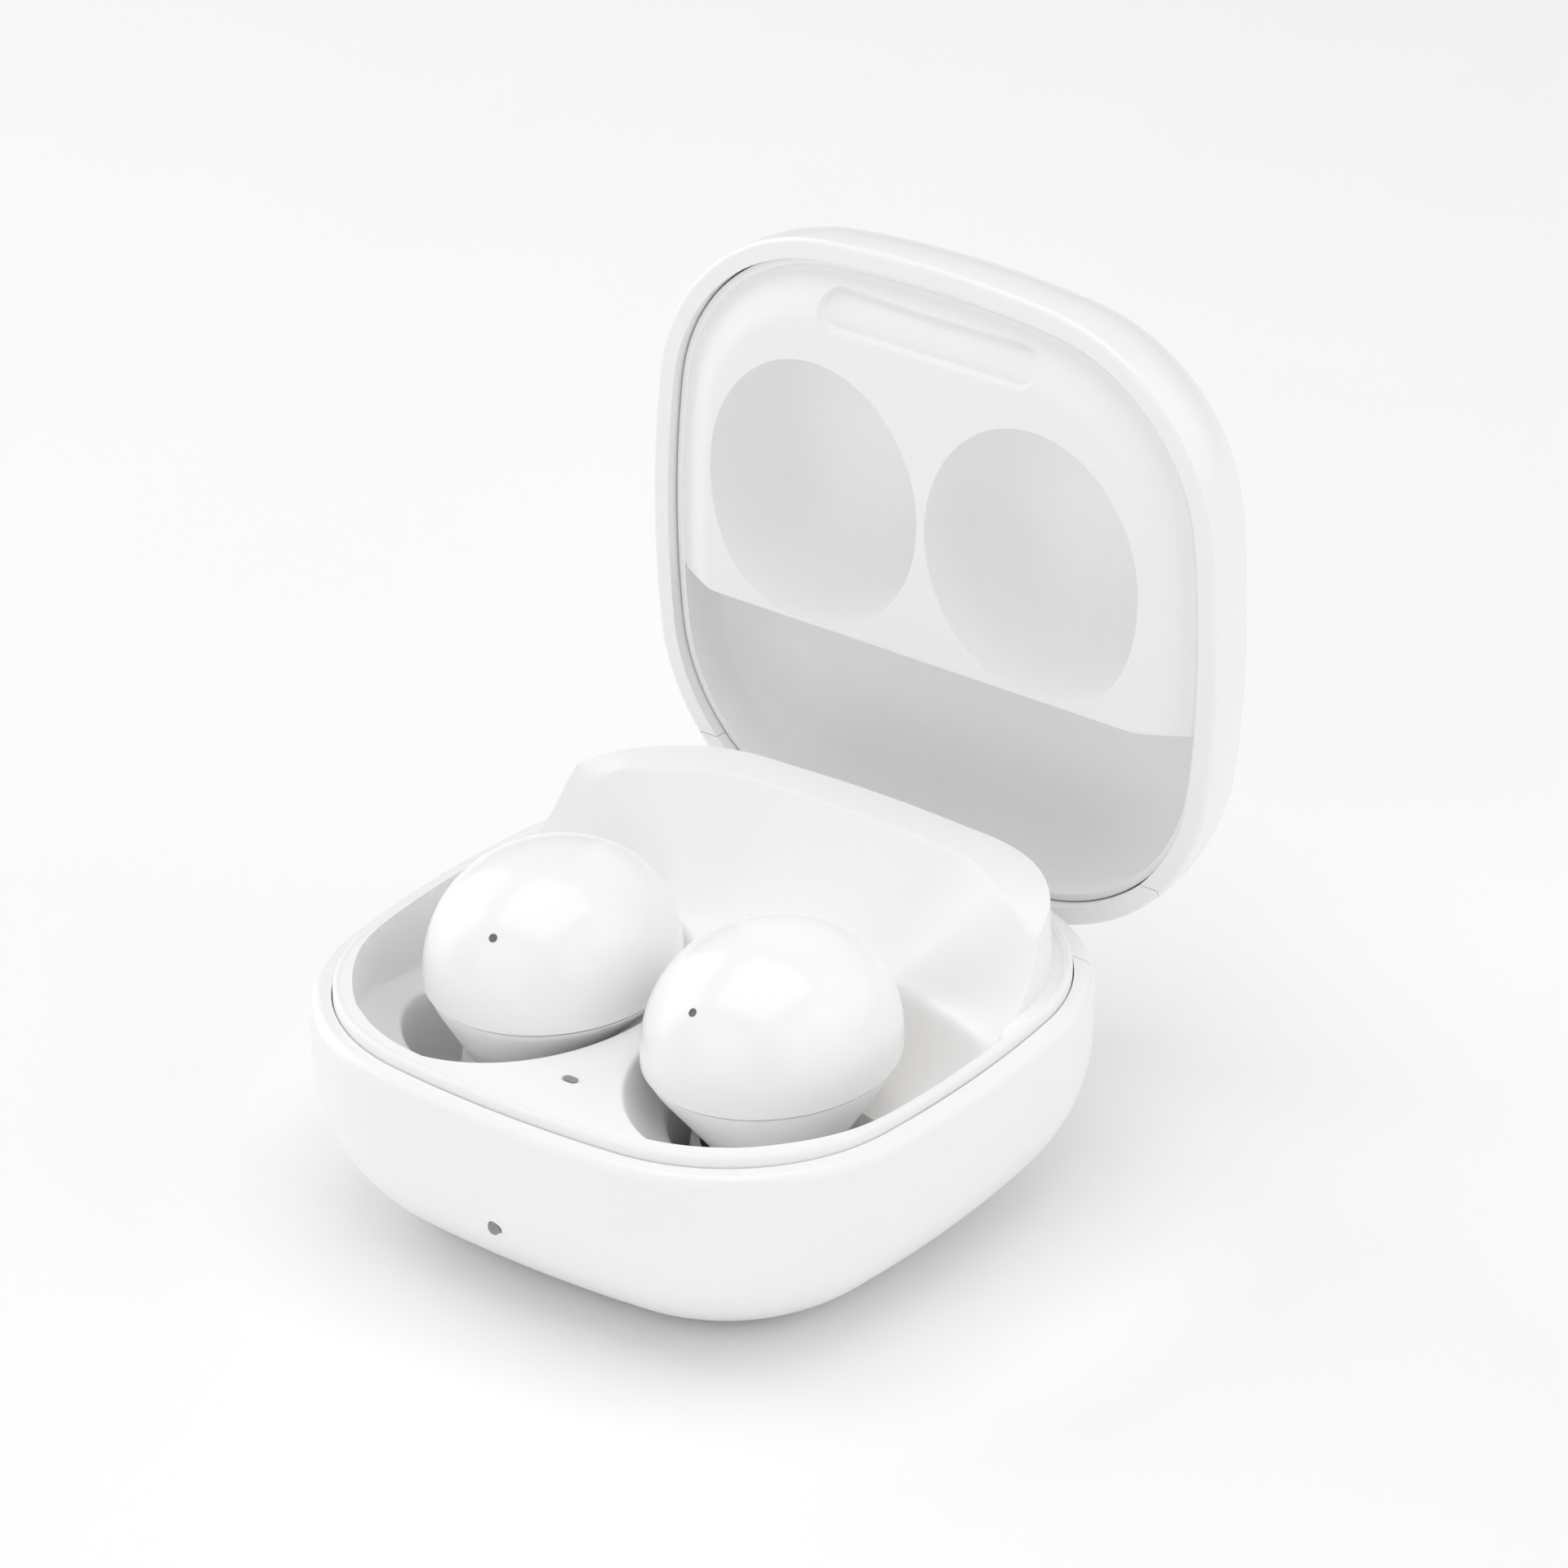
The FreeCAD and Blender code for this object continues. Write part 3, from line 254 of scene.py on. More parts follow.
def plastic(name, colour, rough, grain=0.0, grain_size=0.2, coat=0.0, mottle=0.01, metal=0.0,
            scatter=0.0):
    """Moulded plastic or metal: tone and gloss drift slightly, over a fine moulded grain."""
    material = bpy.data.materials.new(name)
    material.use_nodes = True
    nodes, links = material.node_tree.nodes, material.node_tree.links
    shader = nodes["Principled BSDF"]
    place = nodes.new("ShaderNodeTexCoord")

    drift = nodes.new("ShaderNodeTexNoise")
    drift.inputs["Scale"].default_value = 60.0
    drift.inputs["Detail"].default_value = 3.0
    links.new(place.outputs["Object"], drift.inputs["Vector"])
    tone = nodes.new("ShaderNodeMix")
    tone.data_type = "RGBA"
    darker = [max(0.0, part * (1 - mottle)) for part in colour]
    lighter = [min(1.0, part * (1 + mottle)) for part in colour]
    tone.inputs[6].default_value = (*darker, 1)
    tone.inputs[7].default_value = (*lighter, 1)
    links.new(drift.outputs["Fac"], tone.inputs["Factor"])
    links.new(tone.outputs[2], shader.inputs["Base Color"])

    polish = nodes.new("ShaderNodeMapRange")
    polish.inputs["To Min"].default_value = rough * 0.85
    polish.inputs["To Max"].default_value = min(1.0, rough * 1.15)
    links.new(drift.outputs["Fac"], polish.inputs["Value"])
    links.new(polish.outputs["Result"], shader.inputs["Roughness"])

    if grain:
        spark = nodes.new("ShaderNodeTexNoise")
        spark.inputs["Scale"].default_value = 1 / (grain_size * MM)
        spark.inputs["Detail"].default_value = 2.0
        links.new(place.outputs["Object"], spark.inputs["Vector"])
        bump = nodes.new("ShaderNodeBump")
        bump.inputs["Strength"].default_value = grain
        bump.inputs["Distance"].default_value = 0.02 * MM
        links.new(spark.outputs["Fac"], bump.inputs["Height"])
        links.new(bump.outputs["Normal"], shader.inputs["Normal"])
    shader.inputs["Metallic"].default_value = metal
    shader.inputs["Coat Weight"].default_value = coat
    shader.inputs["Coat Roughness"].default_value = 0.06
    if scatter:
        shader.inputs["Subsurface Weight"].default_value = scatter
        shader.inputs["Subsurface Radius"].default_value = (1.0, 1.0, 1.0)
        shader.inputs["Subsurface Scale"].default_value = 0.6 * MM
    return material


WHITE = (0.93, 0.93, 0.93)
SATIN = plastic("satin_white", WHITE, 0.32, grain=0.12, grain_size=0.25, coat=0.15)
MATT = plastic("matt_white", WHITE, 0.55, grain=0.35, grain_size=0.16)
PEARL = plastic("pearl_white", (0.95, 0.95, 0.95), 0.21, grain=0.02, grain_size=1.4)
SOFT_WHITE = plastic("soft_matt_white", (0.92, 0.92, 0.92), 0.42, grain=0.15, grain_size=0.15)
SILICONE = plastic("silicone_white", (0.86, 0.86, 0.86), 0.6, grain=0.2, grain_size=0.3, scatter=0.2)
SMOKED = plastic("smoked_lens", (0.22, 0.22, 0.23), 0.1, grain=0.05, coat=1.0, mottle=0.2)
GOLD = plastic("gold_plate", (0.83, 0.63, 0.3), 0.22, grain=0.1, metal=1.0, mottle=0.06)
BLACK = plastic("black_plastic", (0.03, 0.03, 0.03), 0.45, grain=0.4, mottle=0.25)
STEEL = plastic("plain_steel", (0.62, 0.62, 0.63), 0.28, grain=0.25, metal=1.0, mottle=0.05)
NICKEL = plastic("nickel_plate", (0.7, 0.69, 0.67), 0.18, grain=0.1, metal=1.0, mottle=0.05)
AMBER = plastic("polyimide", (0.55, 0.27, 0.06), 0.3, grain=0.1, coat=0.3, mottle=0.12)
FOIL = plastic("pouch_foil", (0.76, 0.77, 0.79), 0.35, grain=0.6, grain_size=0.5, metal=0.9, mottle=0.04)
BOARD = plastic("solder_mask", (0.02, 0.16, 0.08), 0.3, grain=0.3, grain_size=0.4, coat=0.3, mottle=0.2)
COPPER = plastic("enamelled_copper", (0.72, 0.33, 0.16), 0.3, grain=0.3, metal=1.0, mottle=0.1)
FERRITE = plastic("ferrite", (0.08, 0.08, 0.085), 0.6, grain=0.5, mottle=0.2)
GASKET = plastic("gasket_grey", (0.32, 0.32, 0.33), 0.65, grain=0.3, mottle=0.08)
MESH = plastic("woven_mesh", (0.18, 0.18, 0.18), 0.4, grain=0.8, grain_size=0.08, metal=0.6, mottle=0.3)

SLOT_FINISH = {
    "shell_white": SATIN,
    "tray_white": MATT,
    "dome_pearl": PEARL,
    "housing_white": SOFT_WHITE,
    "silicone": SILICONE,
    "lens": SMOKED,
    "gold_plate": GOLD,
    "black_plastic": BLACK,
    "steel": STEEL,
    "dark_mesh": MESH,
    "magnet_plate": NICKEL,
    "flex_amber": AMBER,
    "cell_foil": FOIL,
    "board_green": BOARD,
    "copper": COPPER,
    "ferrite": FERRITE,
    "gasket_grey": GASKET,
}
for subpart in frame["record"]["subparts"]:
    cad_node = frame["nodes"][subpart["node"]]
    cad_node.data.materials.clear()
    cad_node.data.materials.append(SLOT_FINISH[subpart["material_slot"]])


# ---- tray ---------------------------------------------------------------------------------

TRAY_WALL = 1.0
TRAY_INSET = 1.6
SKIRT_BOTTOM = 12.5

# bezel
BEZEL_TOP = 17.9
BEZEL_INNER = 3.0
SIDE_SLIMMING = 0.75
BEZEL_ROUND = 0.5
LEDGE_DROP, LEDGE_POWER = 5.5, 0.8

# deck, and the hump behind it; the walks are distances round the outline
DECK = 15.85
HUMP_TOP = 22.75
HUMP_INSET = 3.1
HUMP_STEEP = 24.0
HUMP_ROUND, CREASE_ROUND = 0.5, 0.06
OUTER_RISE_WALK = (2.0, 13.5)
INNER_RISE_WALK = (6.0, 17.5)
BAND = 4.1
RAMP_LENGTH, RAMP_SHORTEST, RAMP_POWER = 9.5, 1.6, 1.6
RAMP_POLE = np.array((0.0, -4.0))

# an earbud's dish, which swells towards the outer rear, and the well in its floor
DISH_X, DISH_Y = 12.0, -5.3
DISH_HALF = np.array((11.1, 13.9))
DISH_FLOOR, DISH_RIM, DISH_POWER = 10.8, 16.3, 6.0
DISH_SWELL, DISH_SWELL_HEADING, DISH_SWELL_SPREAD = 0.16, math.radians(33), 0.42
WELL_X, WELL_Y = 12.0, -6.8
WELL_HALF = np.array((8.1, 6.7))
WELL_BOTTOM, WELL_STEEP, WELL_ROUND = 4.3, 90, 0.25

# the base shell's inner surface, which the tray stays clear of
BELLY_TOP, SHELL_WALL, BELLY_GAP = 13.0, 1.5, 0.4

OUTLINE_WALK = walk_of(*ring(0).T)
RIGHT_SIDE = ring(0)[:, 0] >= 0


def spread_in(x, y, middle_x, middle_y, half):
    """1 on an oval's edge, less inside it; both sides of the case share one oval."""
    return np.hypot((np.abs(x) - middle_x) / half[0], (y - middle_y) / half[1])


def dish_reach(heading):
    """An earbud's dish is an oval that swells outwards, so that its wall meets the bezel."""
    return 1 + DISH_SWELL * np.exp(-((heading - DISH_SWELL_HEADING) / DISH_SWELL_SPREAD) ** 2)


def dish_spread(x, y):
    """1 on the edge of an earbud's dish."""
    across, along = (np.abs(x) - DISH_X) / DISH_HALF[0], (y - DISH_Y) / DISH_HALF[1]
    return np.hypot(across, along) / dish_reach(np.arctan2(along, across))


def dish_line(grow, count=180):
    """The edge of the right earbud's dish, moved outwards by grow."""
    turn = np.linspace(-math.pi, math.pi, count, endpoint=False)
    size = dish_reach(turn)[:, None] * (DISH_HALF + grow)
    return (DISH_X, DISH_Y) + size * np.c_[np.cos(turn), np.sin(turn)]


def oval_line(middle_x, middle_y, half, grow, count=180):
    turn = np.linspace(0, 2 * math.pi, count, endpoint=False)
    return np.c_[middle_x + (half[0] + grow) * np.cos(turn), middle_y + (half[1] + grow) * np.sin(turn)]


def belly_height(inset):
    """Height of the base shell's inner surface, which curves in towards its flat bottom."""
    return BELLY_TOP - np.sqrt(np.clip((BELLY_TOP - SHELL_WALL) ** 2 - (BELLY_TOP - inset) ** 2, 0, None))


def bezel_inset(walk):
    """How far in the bezel's inner edge lies: the bezel is narrower along the sides."""
    return BEZEL_INNER - SIDE_SLIMMING * ease(-20.0, -7.0, walk)


def hump_inset(walk):
    """How far in the hump's outer wall stands: a little further at the rear than at the sides."""
    return HUMP_INSET + 0.45 * ease(24.0, 36.0, walk)


def hump_edge_height(walk):
    """Height of the hump's outer edge, which rises out of the bezel along the sides."""
    return BEZEL_TOP + (HUMP_TOP - BEZEL_TOP) * ease(*OUTER_RISE_WALK, walk)


def crease_height(walk):
    """Height of the crease between the hump's band and the ramp, which starts to rise later."""
    return BEZEL_TOP + (HUMP_TOP - BEZEL_TOP) * ease(*INNER_RISE_WALK, walk)


def crease_inset(walk):
    """How far in the hump's flat band ends: it narrows to nothing along the sides."""
    return bezel_inset(walk) + 0.05 + (BAND + SIDE_SLIMMING) * ease(6.0, 22.5, walk) ** 0.9


CREASE_LINE = ring(crease_inset(OUTLINE_WALK))[RIGHT_SIDE]
CREASE_HEIGHT = crease_height(OUTLINE_WALK[RIGHT_SIDE])
RAMP_RUN = RAMP_SHORTEST + (RAMP_LENGTH - RAMP_SHORTEST) * ease(3.0, 24.0, OUTLINE_WALK[RIGHT_SIDE])


def ramp_height(x, y):
    """The concave ramp from the hump's crease down to the deck, swept about a point near the
    middle of the tray so that it turns the corners without a fold."""
    from_pole = CREASE_LINE - RAMP_POLE
    heading = np.arctan2(from_pole[:, 1], from_pole[:, 0])
    order = np.argsort(heading)
    here = np.arctan2(y - RAMP_POLE[1], np.abs(x) - RAMP_POLE[0])
    edge = np.interp(here, heading[order], np.hypot(*from_pole.T)[order])
    length = np.interp(here, heading[order], RAMP_RUN[order])
    high = np.interp(here, heading[order], CREASE_HEIGHT[order])
    down = (edge - np.hypot(np.abs(x) - RAMP_POLE[0], y - RAMP_POLE[1])) / length
    return DECK + (high - DECK) * (1 - np.clip(down, -0.2, 1)) ** RAMP_POWER


def tray_top(x, y):
    """Height of the tray's visible surface: bezel, deck, hump and both cradles."""
    inset = inset_of(x, y)
    walk = walk_of(x, y)
    outer_edge = hump_edge_height(walk)
    inner_edge = crease_height(walk)
    crease = crease_inset(walk)

    outer = hump_inset(walk)
    across_band = np.clip((inset - outer) / np.maximum(crease - outer, 0.05), 0, 1)
    band = outer_edge + (inner_edge - outer_edge) * across_band
    ramp = ramp_height(x, y)
    solid = lower_of(band, ramp, CREASE_ROUND)
    wall = BEZEL_TOP + HUMP_STEEP * (inset - outer)
    solid = np.where(outer_edge > BEZEL_TOP + 0.02, lower_of(solid, wall, HUMP_ROUND), solid)
    solid = np.where(inset < outer, np.maximum(solid, BEZEL_TOP - 0.3), solid)

    dish = dish_spread(x, y)
    bowl = DISH_FLOOR + (DISH_RIM - DISH_FLOOR) * dish ** DISH_POWER
    soft = 0.35 + 0.5 * ease(-1.0, 4.0, y)
    cradle = lower_of(solid, bowl, soft)
    well = spread_in(x, y, WELL_X, WELL_Y, WELL_HALF)
    shaft = np.maximum(WELL_BOTTOM, belly_height(inset) + TRAY_WALL + BELLY_GAP)
    shaft = shaft + WELL_STEEP * np.maximum(well - 0.97, 0)
    cradle = lower_of(cradle, shaft, WELL_ROUND)
    edge = bezel_inset(walk)
    rim_wall = BEZEL_TOP - LEDGE_DROP * np.maximum(inset - edge, 0) ** LEDGE_POWER
    cradle = higher_of(cradle, np.minimum(rim_wall, solid), 0.2)
    flat = lower_of(np.full_like(x, BEZEL_TOP), np.maximum(cradle, rim_wall), BEZEL_ROUND)
    on_bezel = np.where(walk > 2.0, np.maximum(flat, solid), flat)
    return np.where(inset < edge + 0.25, on_bezel, cradle)


def lowest_near(height, x, y, reach):
    """The least of a height over a small round patch about each point."""
    turns = np.arange(8) * math.pi / 4
    near = [height(x + reach * math.cos(turn), y + reach * math.sin(turn)) for turn in turns]
    return np.min([height(x, y)] + near, axis=0)


def tray_under(x, y):
    return np.minimum(lowest_near(tray_top, x, y, TRAY_WALL) - TRAY_WALL, HUMP_TOP)


tray_wall = [(TRAY_INSET, SKIRT_BOTTOM), (TRAY_INSET, BEZEL_TOP - 0.45)]
tray_wall += arc_points((TRAY_INSET + 0.45, BEZEL_TOP - 0.45), 0.45, 165, 90, 6)
hump_foot = hump_inset(OUTLINE_WALK)
hump_edge = hump_foot + (hump_edge_height(OUTLINE_WALK) - BEZEL_TOP) / HUMP_STEEP
tray_lines = [ring(hump_foot - 0.03), ring(hump_foot + 0.01)]
tray_lines += [ring(hump_edge + grow)[OUTLINE_WALK > 4] for grow in (-0.03, -0.012, 0.0, 0.02, 0.06, 0.14)]
tray_lines += [ring(bezel_inset(OUTLINE_WALK) + grow) for grow in (-0.15, 0, 0.1, 0.2, 0.35, 0.55, 0.8, 1.1)]
rear = OUTLINE_WALK > 7.0
for grow in (-0.15, -0.04, 0.04, 0.15, 0.4):
    crease_at = ring(crease_inset(OUTLINE_WALK) + grow)
    tray_lines.append(crease_at[rear])
for grow in (-0.9, -0.5, -0.3, -0.15, 0, 0.15, 0.3, 0.5):
    tray_lines += mirrored(dish_line(grow))
for grow in (-0.28, -0.2, -0.1, 0, 0.1, 0.2, 0.35, 0.55):
    tray_lines += mirrored(oval_line(WELL_X, WELL_Y, WELL_HALF, grow))
tray_points, tray_faces = shaped_pan(tray_wall, tray_lines, 0.36, tray_top, tray_under)
build("tray_surface", tray_points, tray_faces, "base", MATT, ["tray"], smooth_angle=70)


def flat_ring(middle_y, straight, inner, outer, low, high):
    """A thin round-ended ring lying on the deck: inner and outer radii about a short straight."""
    rings = []
    for radius, height in ((inner, low), (outer, low), (outer, high - 0.05), (outer - 0.06, high),
                           (inner + 0.06, high), (inner, high - 0.05)):
        turn = np.linspace(0, 2 * math.pi, 48, endpoint=False)
        rings.append((np.c_[np.where(np.cos(turn) > 0, straight, -straight) + radius * np.cos(turn),
                            middle_y + radius * np.sin(turn)], height))
    return stack(rings), loft_faces(len(rings), 48, closed_end=True)


LAMP_Y = -15.4
ring_points, ring_faces = flat_ring(LAMP_Y, 0.25, 0.4, 0.62, DECK - 0.3, DECK + 0.07)
build("tray_lamp_ring", ring_points, ring_faces, "base", SATIN)


# ---- lid liner ----------------------------------------------------------------------------

FLANGE = 18.1
FLANGE_OUTER, FLANGE_INNER = 1.62, 2.3
FACE = 16.2
PILLOW = 3.6
LINER_WALL = 0.35
ROOF = 26.35

# the line where the face drops into the rear hollow, and how far its ends curl forward
SWOOP, SWOOP_CURL = 5.7, 3.3

# an earbud's recess
EGG_X, EGG_Y = 9.58, -4.9
EGG_HALF = np.array((9.24, 10.42))
EGG_RIM, EGG_TOP, EGG_POWER = 14.9, 26.15, 2.6

# the hollow for the hump follows the round inside of the lid's shell, a little below it
HOLLOW_TOP, HOLLOW_EDGE, HOLLOW_STEEP, HOLLOW_GAP = 25.3, 2.2, 30.0, 0.12
LID_ROUND_Z, LID_ROUND_INSET, LID_ROUND_INSIDE = 18.2, 9.6, 8.1

# the round-ended recess at the front of the lid
PILL_Y, PILL_HALF, PILL_DEPTH = -19.7, (9.35, 1.45), 0.8


def pill_edge(x, y):
    """Distance outside the round-ended recess at the front of the lid."""
    past_straight = np.maximum(np.abs(x) - (PILL_HALF[0] - PILL_HALF[1]), 0)
    return np.hypot(past_straight, y - PILL_Y) - PILL_HALF[1]


def pill_line(grow):
    """The recess's edge, moved outwards by grow, with points along its straight runs too."""
    turn = np.linspace(0, 2 * math.pi, 96, endpoint=False)
    reach = PILL_HALF[0] - PILL_HALF[1]
    middle = np.where(np.cos(turn) > 0, reach, -reach)
    ends = np.c_[middle + (PILL_HALF[1] + grow) * np.cos(turn), PILL_Y + (PILL_HALF[1] + grow) * np.sin(turn)]
    runs = []
    for here, after in zip(ends, np.roll(ends, -1, axis=0)):
        steps = max(1, int(abs(after - here).max() / 0.4))
        runs.append(here + (after - here) * (np.arange(steps) / steps)[:, None])
    return np.vstack(runs)


def fuller(heading):
    """An earbud's recess is an oval, a little fuller towards its rear outer side."""
    return 1 + 0.07 * np.exp(-((heading - math.radians(48)) / 0.5) ** 2)


def egg_spread(x, y):
    """1 on the edge of an earbud's recess."""
    across, along = (np.abs(x) - EGG_X) / EGG_HALF[0], (y - EGG_Y) / EGG_HALF[1]
    return np.hypot(across, along) / fuller(np.arctan2(along, across))


def egg_line(grow):
    """The edge of the right earbud's recess, moved outwards by grow."""
    turn = np.linspace(-math.pi, math.pi, 200, endpoint=False)
    size = fuller(turn)[:, None] * (EGG_HALF + grow)
    return (EGG_X, EGG_Y) + size * np.c_[np.cos(turn), np.sin(turn)]


def swoop_y(x):
    """The line where the face drops into the rear hollow: straight, curling forward at its ends."""
    return SWOOP - SWOOP_CURL * ease(16.5, 24.0, np.abs(x)) ** 1.4


def swoop_line(grow):
    x = np.arange(-24, 24, 0.3)
    return np.c_[x, swoop_y(x) + grow]


def liner_face(x, y):
    """Height of the liner's downward face with the lid shut."""
    inset = inset_of(x, y)
    face = FLANGE - (FLANGE - FACE) * ease(FLANGE_INNER + 0.05, FLANGE_INNER + PILLOW, inset) ** 0.8
    face = face + 0.12 * np.exp(-((inset - FLANGE_INNER) / 0.05) ** 2)
    face = face + PILL_DEPTH * ease(0.1, -0.12, pill_edge(x, y))

    spread = egg_spread(x, y)
    dome = EGG_RIM + (EGG_TOP - EGG_RIM) * np.clip(1 - spread ** EGG_POWER, 0, 1) ** (1 / EGG_POWER)
    dome = np.where(spread > 1, EGG_RIM - 60 * (spread - 1), dome)
    face = higher_of(face, dome, 0.12)

    run = LID_ROUND_INSET - np.minimum(inset, LID_ROUND_INSET)
    hollow = LID_ROUND_Z - HOLLOW_GAP + np.sqrt(np.clip(LID_ROUND_INSIDE ** 2 - run ** 2, 0, None))
    hollow = lower_of(hollow, np.full_like(hollow, HOLLOW_TOP), 0.5)
    hollow = np.maximum(np.minimum(hollow, FLANGE + HOLLOW_STEEP * (inset - HOLLOW_EDGE)), FLANGE)
    curl = np.clip(y - swoop_y(x), None, SWOOP - swoop_y(x))
    drop = FACE - 0.3 + np.where(curl < 0, 16, 0.8) * curl + 16 * np.maximum(y - SWOOP, 0)
    return higher_of(face, np.minimum(hollow, drop), 0.1)


def liner_back(x, y):
    """The liner's hidden upper face, a thin wall above the highest point close by."""
    return np.minimum(-lowest_near(lambda a, b: -liner_face(a, b), x, y, 0.5) + LINER_WALL, ROOF)


liner_wall = [(FLANGE_OUTER, FLANGE + 0.7), (FLANGE_OUTER, FLANGE + 0.1), (FLANGE_OUTER + 0.1, FLANGE),
              (FLANGE_INNER - 0.2, FLANGE)]
liner_lines = [ring(HOLLOW_EDGE + grow) for grow in (-0.02, 0.02, 0.08, 0.14, 0.2)]
liner_lines += [ring(FLANGE_INNER + grow) for grow in (0, 0.05, 0.2, 0.4, 0.65, 0.9)]
for grow in (-0.25, -0.14, -0.06, 0.02, 0.12, 0.25):
    liner_lines.append(pill_line(grow))
for grow in (-0.5, -0.2, -0.1, -0.03, 0, 0.06, 0.2):
    liner_lines += mirrored(egg_line(grow))
for grow in (-0.3, -0.08, -0.02, 0.02, 0.08, 0.2, 0.35, 0.5):
    liner_lines += [swoop_line(grow), swoop_line(grow) * (1, 0) + (0, SWOOP + grow)]
liner_points, liner_faces = shaped_pan(liner_wall, liner_lines, 0.36, liner_face, liner_back)
build("liner_surface", swing_open(liner_points), [face[::-1] for face in liner_faces], "lid",
      MATT, ["lid_liner"], smooth_angle=70)


# ---- earbuds ------------------------------------------------------------------------------

BUD_X, BUD_Y = 9.69, -4.9
DOME_HALF = (8.75, 10.1)
DOME_MIDDLE, DOME_TOP, DOME_SEAM = 17.2, 26.0, 16.53
DOME_POWER = 2.25
NECK_X, NECK_Y = 11.0, -6.4
AROUND_BUD = 128


def oval(centre, half, power=2.0):
    angles = np.linspace(0, 2 * math.pi, AROUND_BUD, endpoint=False)
    cosine, sine = np.cos(angles), np.sin(angles)
    return np.c_[centre[0] + half[0] * np.sign(cosine) * np.abs(cosine) ** (2 / power),
                 centre[1] + half[1] * np.sign(sine) * np.abs(sine) ** (2 / power)]


def closed_stack(rings):
    """A body lofted through rings, with a fan closing each end."""
    points = stack(rings)
    around, rows = AROUND_BUD, len(rings)
    low_middle = points[:around].mean(axis=0)
    high_middle = points[-around:].mean(axis=0)
    points = np.vstack([points, [low_middle], [high_middle]])
    faces = loft_faces(rows, around)
    for step in range(around):
        after = (step + 1) % around
        faces.append((rows * around, after, step))
        faces.append(((rows - 1) * around + step, (rows - 1) * around + after, rows * around + 1))
    return points, faces


DOME_EDGE = [(0.13, 0.86), (0.1, 0.955), (0.13, 0.985), (0.22, 0.997)]
HOUSING = [
    # height, how far it has flared from the neck to the dome's outline
    (8.8, 0.0), (9.5, 0.02), (10.0, 0.05), (10.5, 0.09), (11.0, 0.15), (11.5, 0.225), (12.0, 0.31),
    (12.5, 0.395), (13.0, 0.48), (13.5, 0.565), (14.0, 0.65), (14.5, 0.735), (15.0, 0.82), (15.5, 0.9),
    (16.0, 0.965), (16.3, 0.995), (16.42, 0.99), (16.48, 0.965),
]
NECK_RADIUS = 4.0
HOUSING_WIDTH = 0.965
MIC_SPOT, MIC_RADIUS = (8.75, -12.85), 0.31


def dome_height(x, y):
    """Height of the right earbud's dome."""
    spread = math.hypot((x - BUD_X) / DOME_HALF[0], (y - BUD_Y) / DOME_HALF[1])
    return DOME_MIDDLE + (DOME_TOP - DOME_MIDDLE) * (1 - spread ** DOME_POWER) ** (1 / DOME_POWER)


def stud(spot, normal, radius, sink, rise, count=24):
    """A short round plug that stands along a normal, from sink below a spot to rise above it."""
    normal = Vector(normal).normalized()
    across = normal.orthogonal().normalized()
    along = normal.cross(across)
    rings = []
    steps = ((-sink, radius), (rise, radius), (rise, radius * 0.6), (rise - 0.02, radius * 0.3))
    for level, size in steps:
        ring_points = []
        for step in range(count):
            turn = 2 * math.pi * step / count
            ring_points.append(Vector(spot) + normal * level
                               + size * (across * math.cos(turn) + along * math.sin(turn)))
        rings.append(np.array(ring_points))
    points = np.vstack(rings + [[np.mean(rings[0], axis=0)], [np.mean(rings[-1], axis=0)]])
    faces = loft_faces(len(rings), count)
    for step in range(count):
        after = (step + 1) % count
        faces.append((len(rings) * count, after, step))
        faces.append(((len(rings) - 1) * count + step, (len(rings) - 1) * count + after,
                      len(rings) * count + 1))
    return points, faces


for side, sign in SIDES:
    bud = "earbud_" + side
    centre = (sign * BUD_X, BUD_Y)
    rings = [(oval(centre, np.array(DOME_HALF) * shrink), DOME_SEAM + lift) for lift, shrink in DOME_EDGE]
    for step in range(1, 49):
        lift = step / 49 * math.pi / 2
        shrink = math.cos(lift) ** (2 / DOME_POWER)
        rise = math.sin(lift) ** (2 / DOME_POWER)
        rings.append((oval(centre, np.array(DOME_HALF) * shrink),
                      DOME_MIDDLE + (DOME_TOP - DOME_MIDDLE) * rise))
    points, faces = closed_stack(rings)
    build("dome_" + side, points, faces, bud, PEARL, ["earbud_dome_" + side])

    rings = []
    for height, flare in HOUSING:
        middle = (sign * (NECK_X + (BUD_X - NECK_X) * flare), NECK_Y + (BUD_Y - NECK_Y) * flare)
        full = np.array(DOME_HALF) * HOUSING_WIDTH
        rings.append((oval(middle, NECK_RADIUS + (full - NECK_RADIUS) * flare), height))
    points, faces = closed_stack(rings)
    build("housing_" + side, points, faces, bud, SOFT_WHITE, ["earbud_housing_" + side])

    x, y = MIC_SPOT
    tall = dome_height(x, y)
    normal = (sign * (dome_height(x - 0.05, y) - dome_height(x + 0.05, y)),
              dome_height(x, y - 0.05) - dome_height(x, y + 0.05), 0.1)
    points, faces = stud((sign * x, y, tall), normal, MIC_RADIUS, 0.4, 0.03)
    build("mic_port_" + side, points, faces, bud, MESH, ["earbud_mic_mesh_" + side])


# ---- floor, light and camera --------------------------------------------------------------

floor_mesh = bpy.data.meshes.new("floor")
reach = 3.0
floor_mesh.from_pydata([(-reach, -reach, 0), (reach, -reach, 0), (reach, reach, 0), (-reach, reach, 0)],
                       [], [(0, 1, 2, 3)])
floor = bpy.data.objects.new("floor", floor_mesh)
bpy.context.scene.collection.objects.link(floor)
floor_mesh.materials.append(plastic("floor_white", (0.97, 0.97, 0.97), 0.9, mottle=0.002))

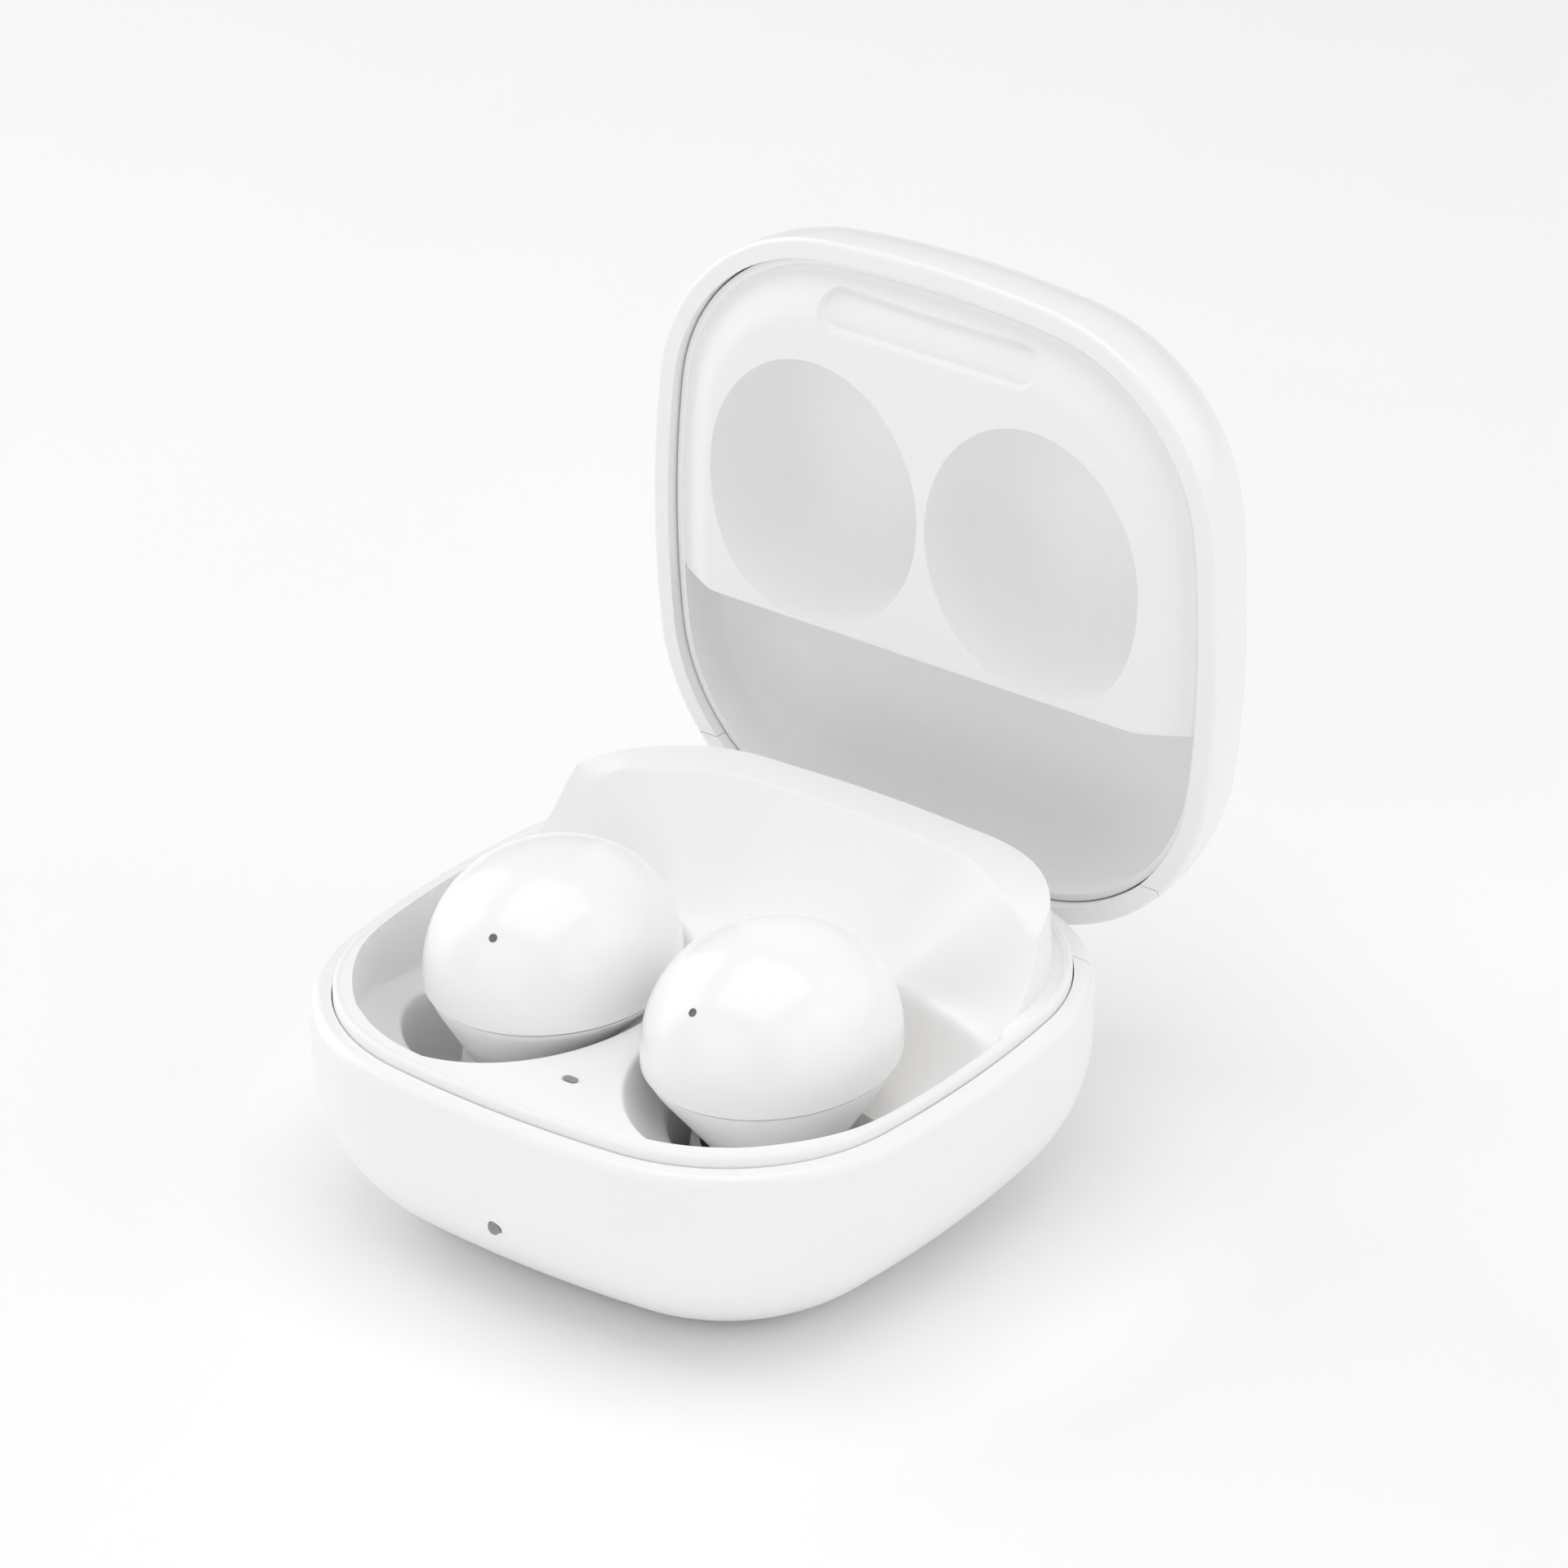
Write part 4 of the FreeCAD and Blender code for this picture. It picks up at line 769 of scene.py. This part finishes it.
scene = bpy.context.scene
scene.view_settings.view_transform = "Standard"
world = bpy.data.worlds.new("studio")
scene.world = world
world.use_nodes = True
world.node_tree.nodes["Background"].inputs["Color"].default_value = (1, 1, 1, 1)
world.node_tree.nodes["Background"].inputs["Strength"].default_value = 0.35


def softbox(name, spot, width, watts):
    """A square soft light that faces the case."""
    light = bpy.data.lights.new(name, "AREA")
    light.shape = "SQUARE"
    light.size = width
    light.energy = watts
    lamp = bpy.data.objects.new(name, light)
    lamp.location = spot
    lamp.rotation_euler = (Vector(AIM) - Vector(spot)).to_track_quat("-Z", "Y").to_euler()
    bpy.context.scene.collection.objects.link(lamp)


AIM = (0, 0, 0.02)
LIGHTS = [
    # name, place, size, watts
    ("top", (0.0, 0.0, 0.6), 0.6, 1.65),
    ("left", (-0.6, 0.0, 0.25), 0.6, 1.55),
    ("front", (0.0, -0.55, 0.2), 0.6, 1.0),
    ("right", (0.6, 0.0, 0.25), 0.6, 0.85),
    ("rear_right", (0.4, 0.45, 0.35), 0.6, 0.8),
]
for name, spot, width, watts in LIGHTS:
    softbox(name, spot, width, watts)

# the camera looks down on the case from the front right, its axes turned by these angles in radians;
# FOCAL is its focal length over its sensor's width, TARGET_SHIFT the seam's middle as it sees it
AZIMUTH, ELEVATION, ROLL = 0.636, 0.491, 0.004
FOCAL = 5.181755208
TARGET_SHIFT = (-5.689, -13.994, -575.83)
SEAM_HEIGHT = 16.753
SENSOR = 36.0

back = np.array([math.sin(AZIMUTH) * math.cos(ELEVATION), -math.cos(AZIMUTH) * math.cos(ELEVATION),
                 math.sin(ELEVATION)])
level = np.array([math.cos(AZIMUTH), math.sin(AZIMUTH), 0])
upright = np.cross(back, level)
right = math.cos(ROLL) * level + math.sin(ROLL) * upright
up = -math.sin(ROLL) * level + math.cos(ROLL) * upright
axes = np.array([right, up, back])
spot = -axes.T @ np.array(TARGET_SHIFT) + np.array([0, 0, SEAM_HEIGHT])
camera_data = bpy.data.cameras.new("camera")
camera_data.sensor_width = SENSOR
camera_data.lens = SENSOR * FOCAL
camera_data.clip_start = 0.05
camera = bpy.data.objects.new("camera", camera_data)
pose = Matrix.Identity(4)
for column, axis in enumerate((right, up, back)):
    for row in range(3):
        pose[row][column] = float(axis[row])
for row in range(3):
    pose[row][3] = float(spot[row]) * MM
camera.matrix_world = pose
scene.collection.objects.link(camera)
scene.camera = camera
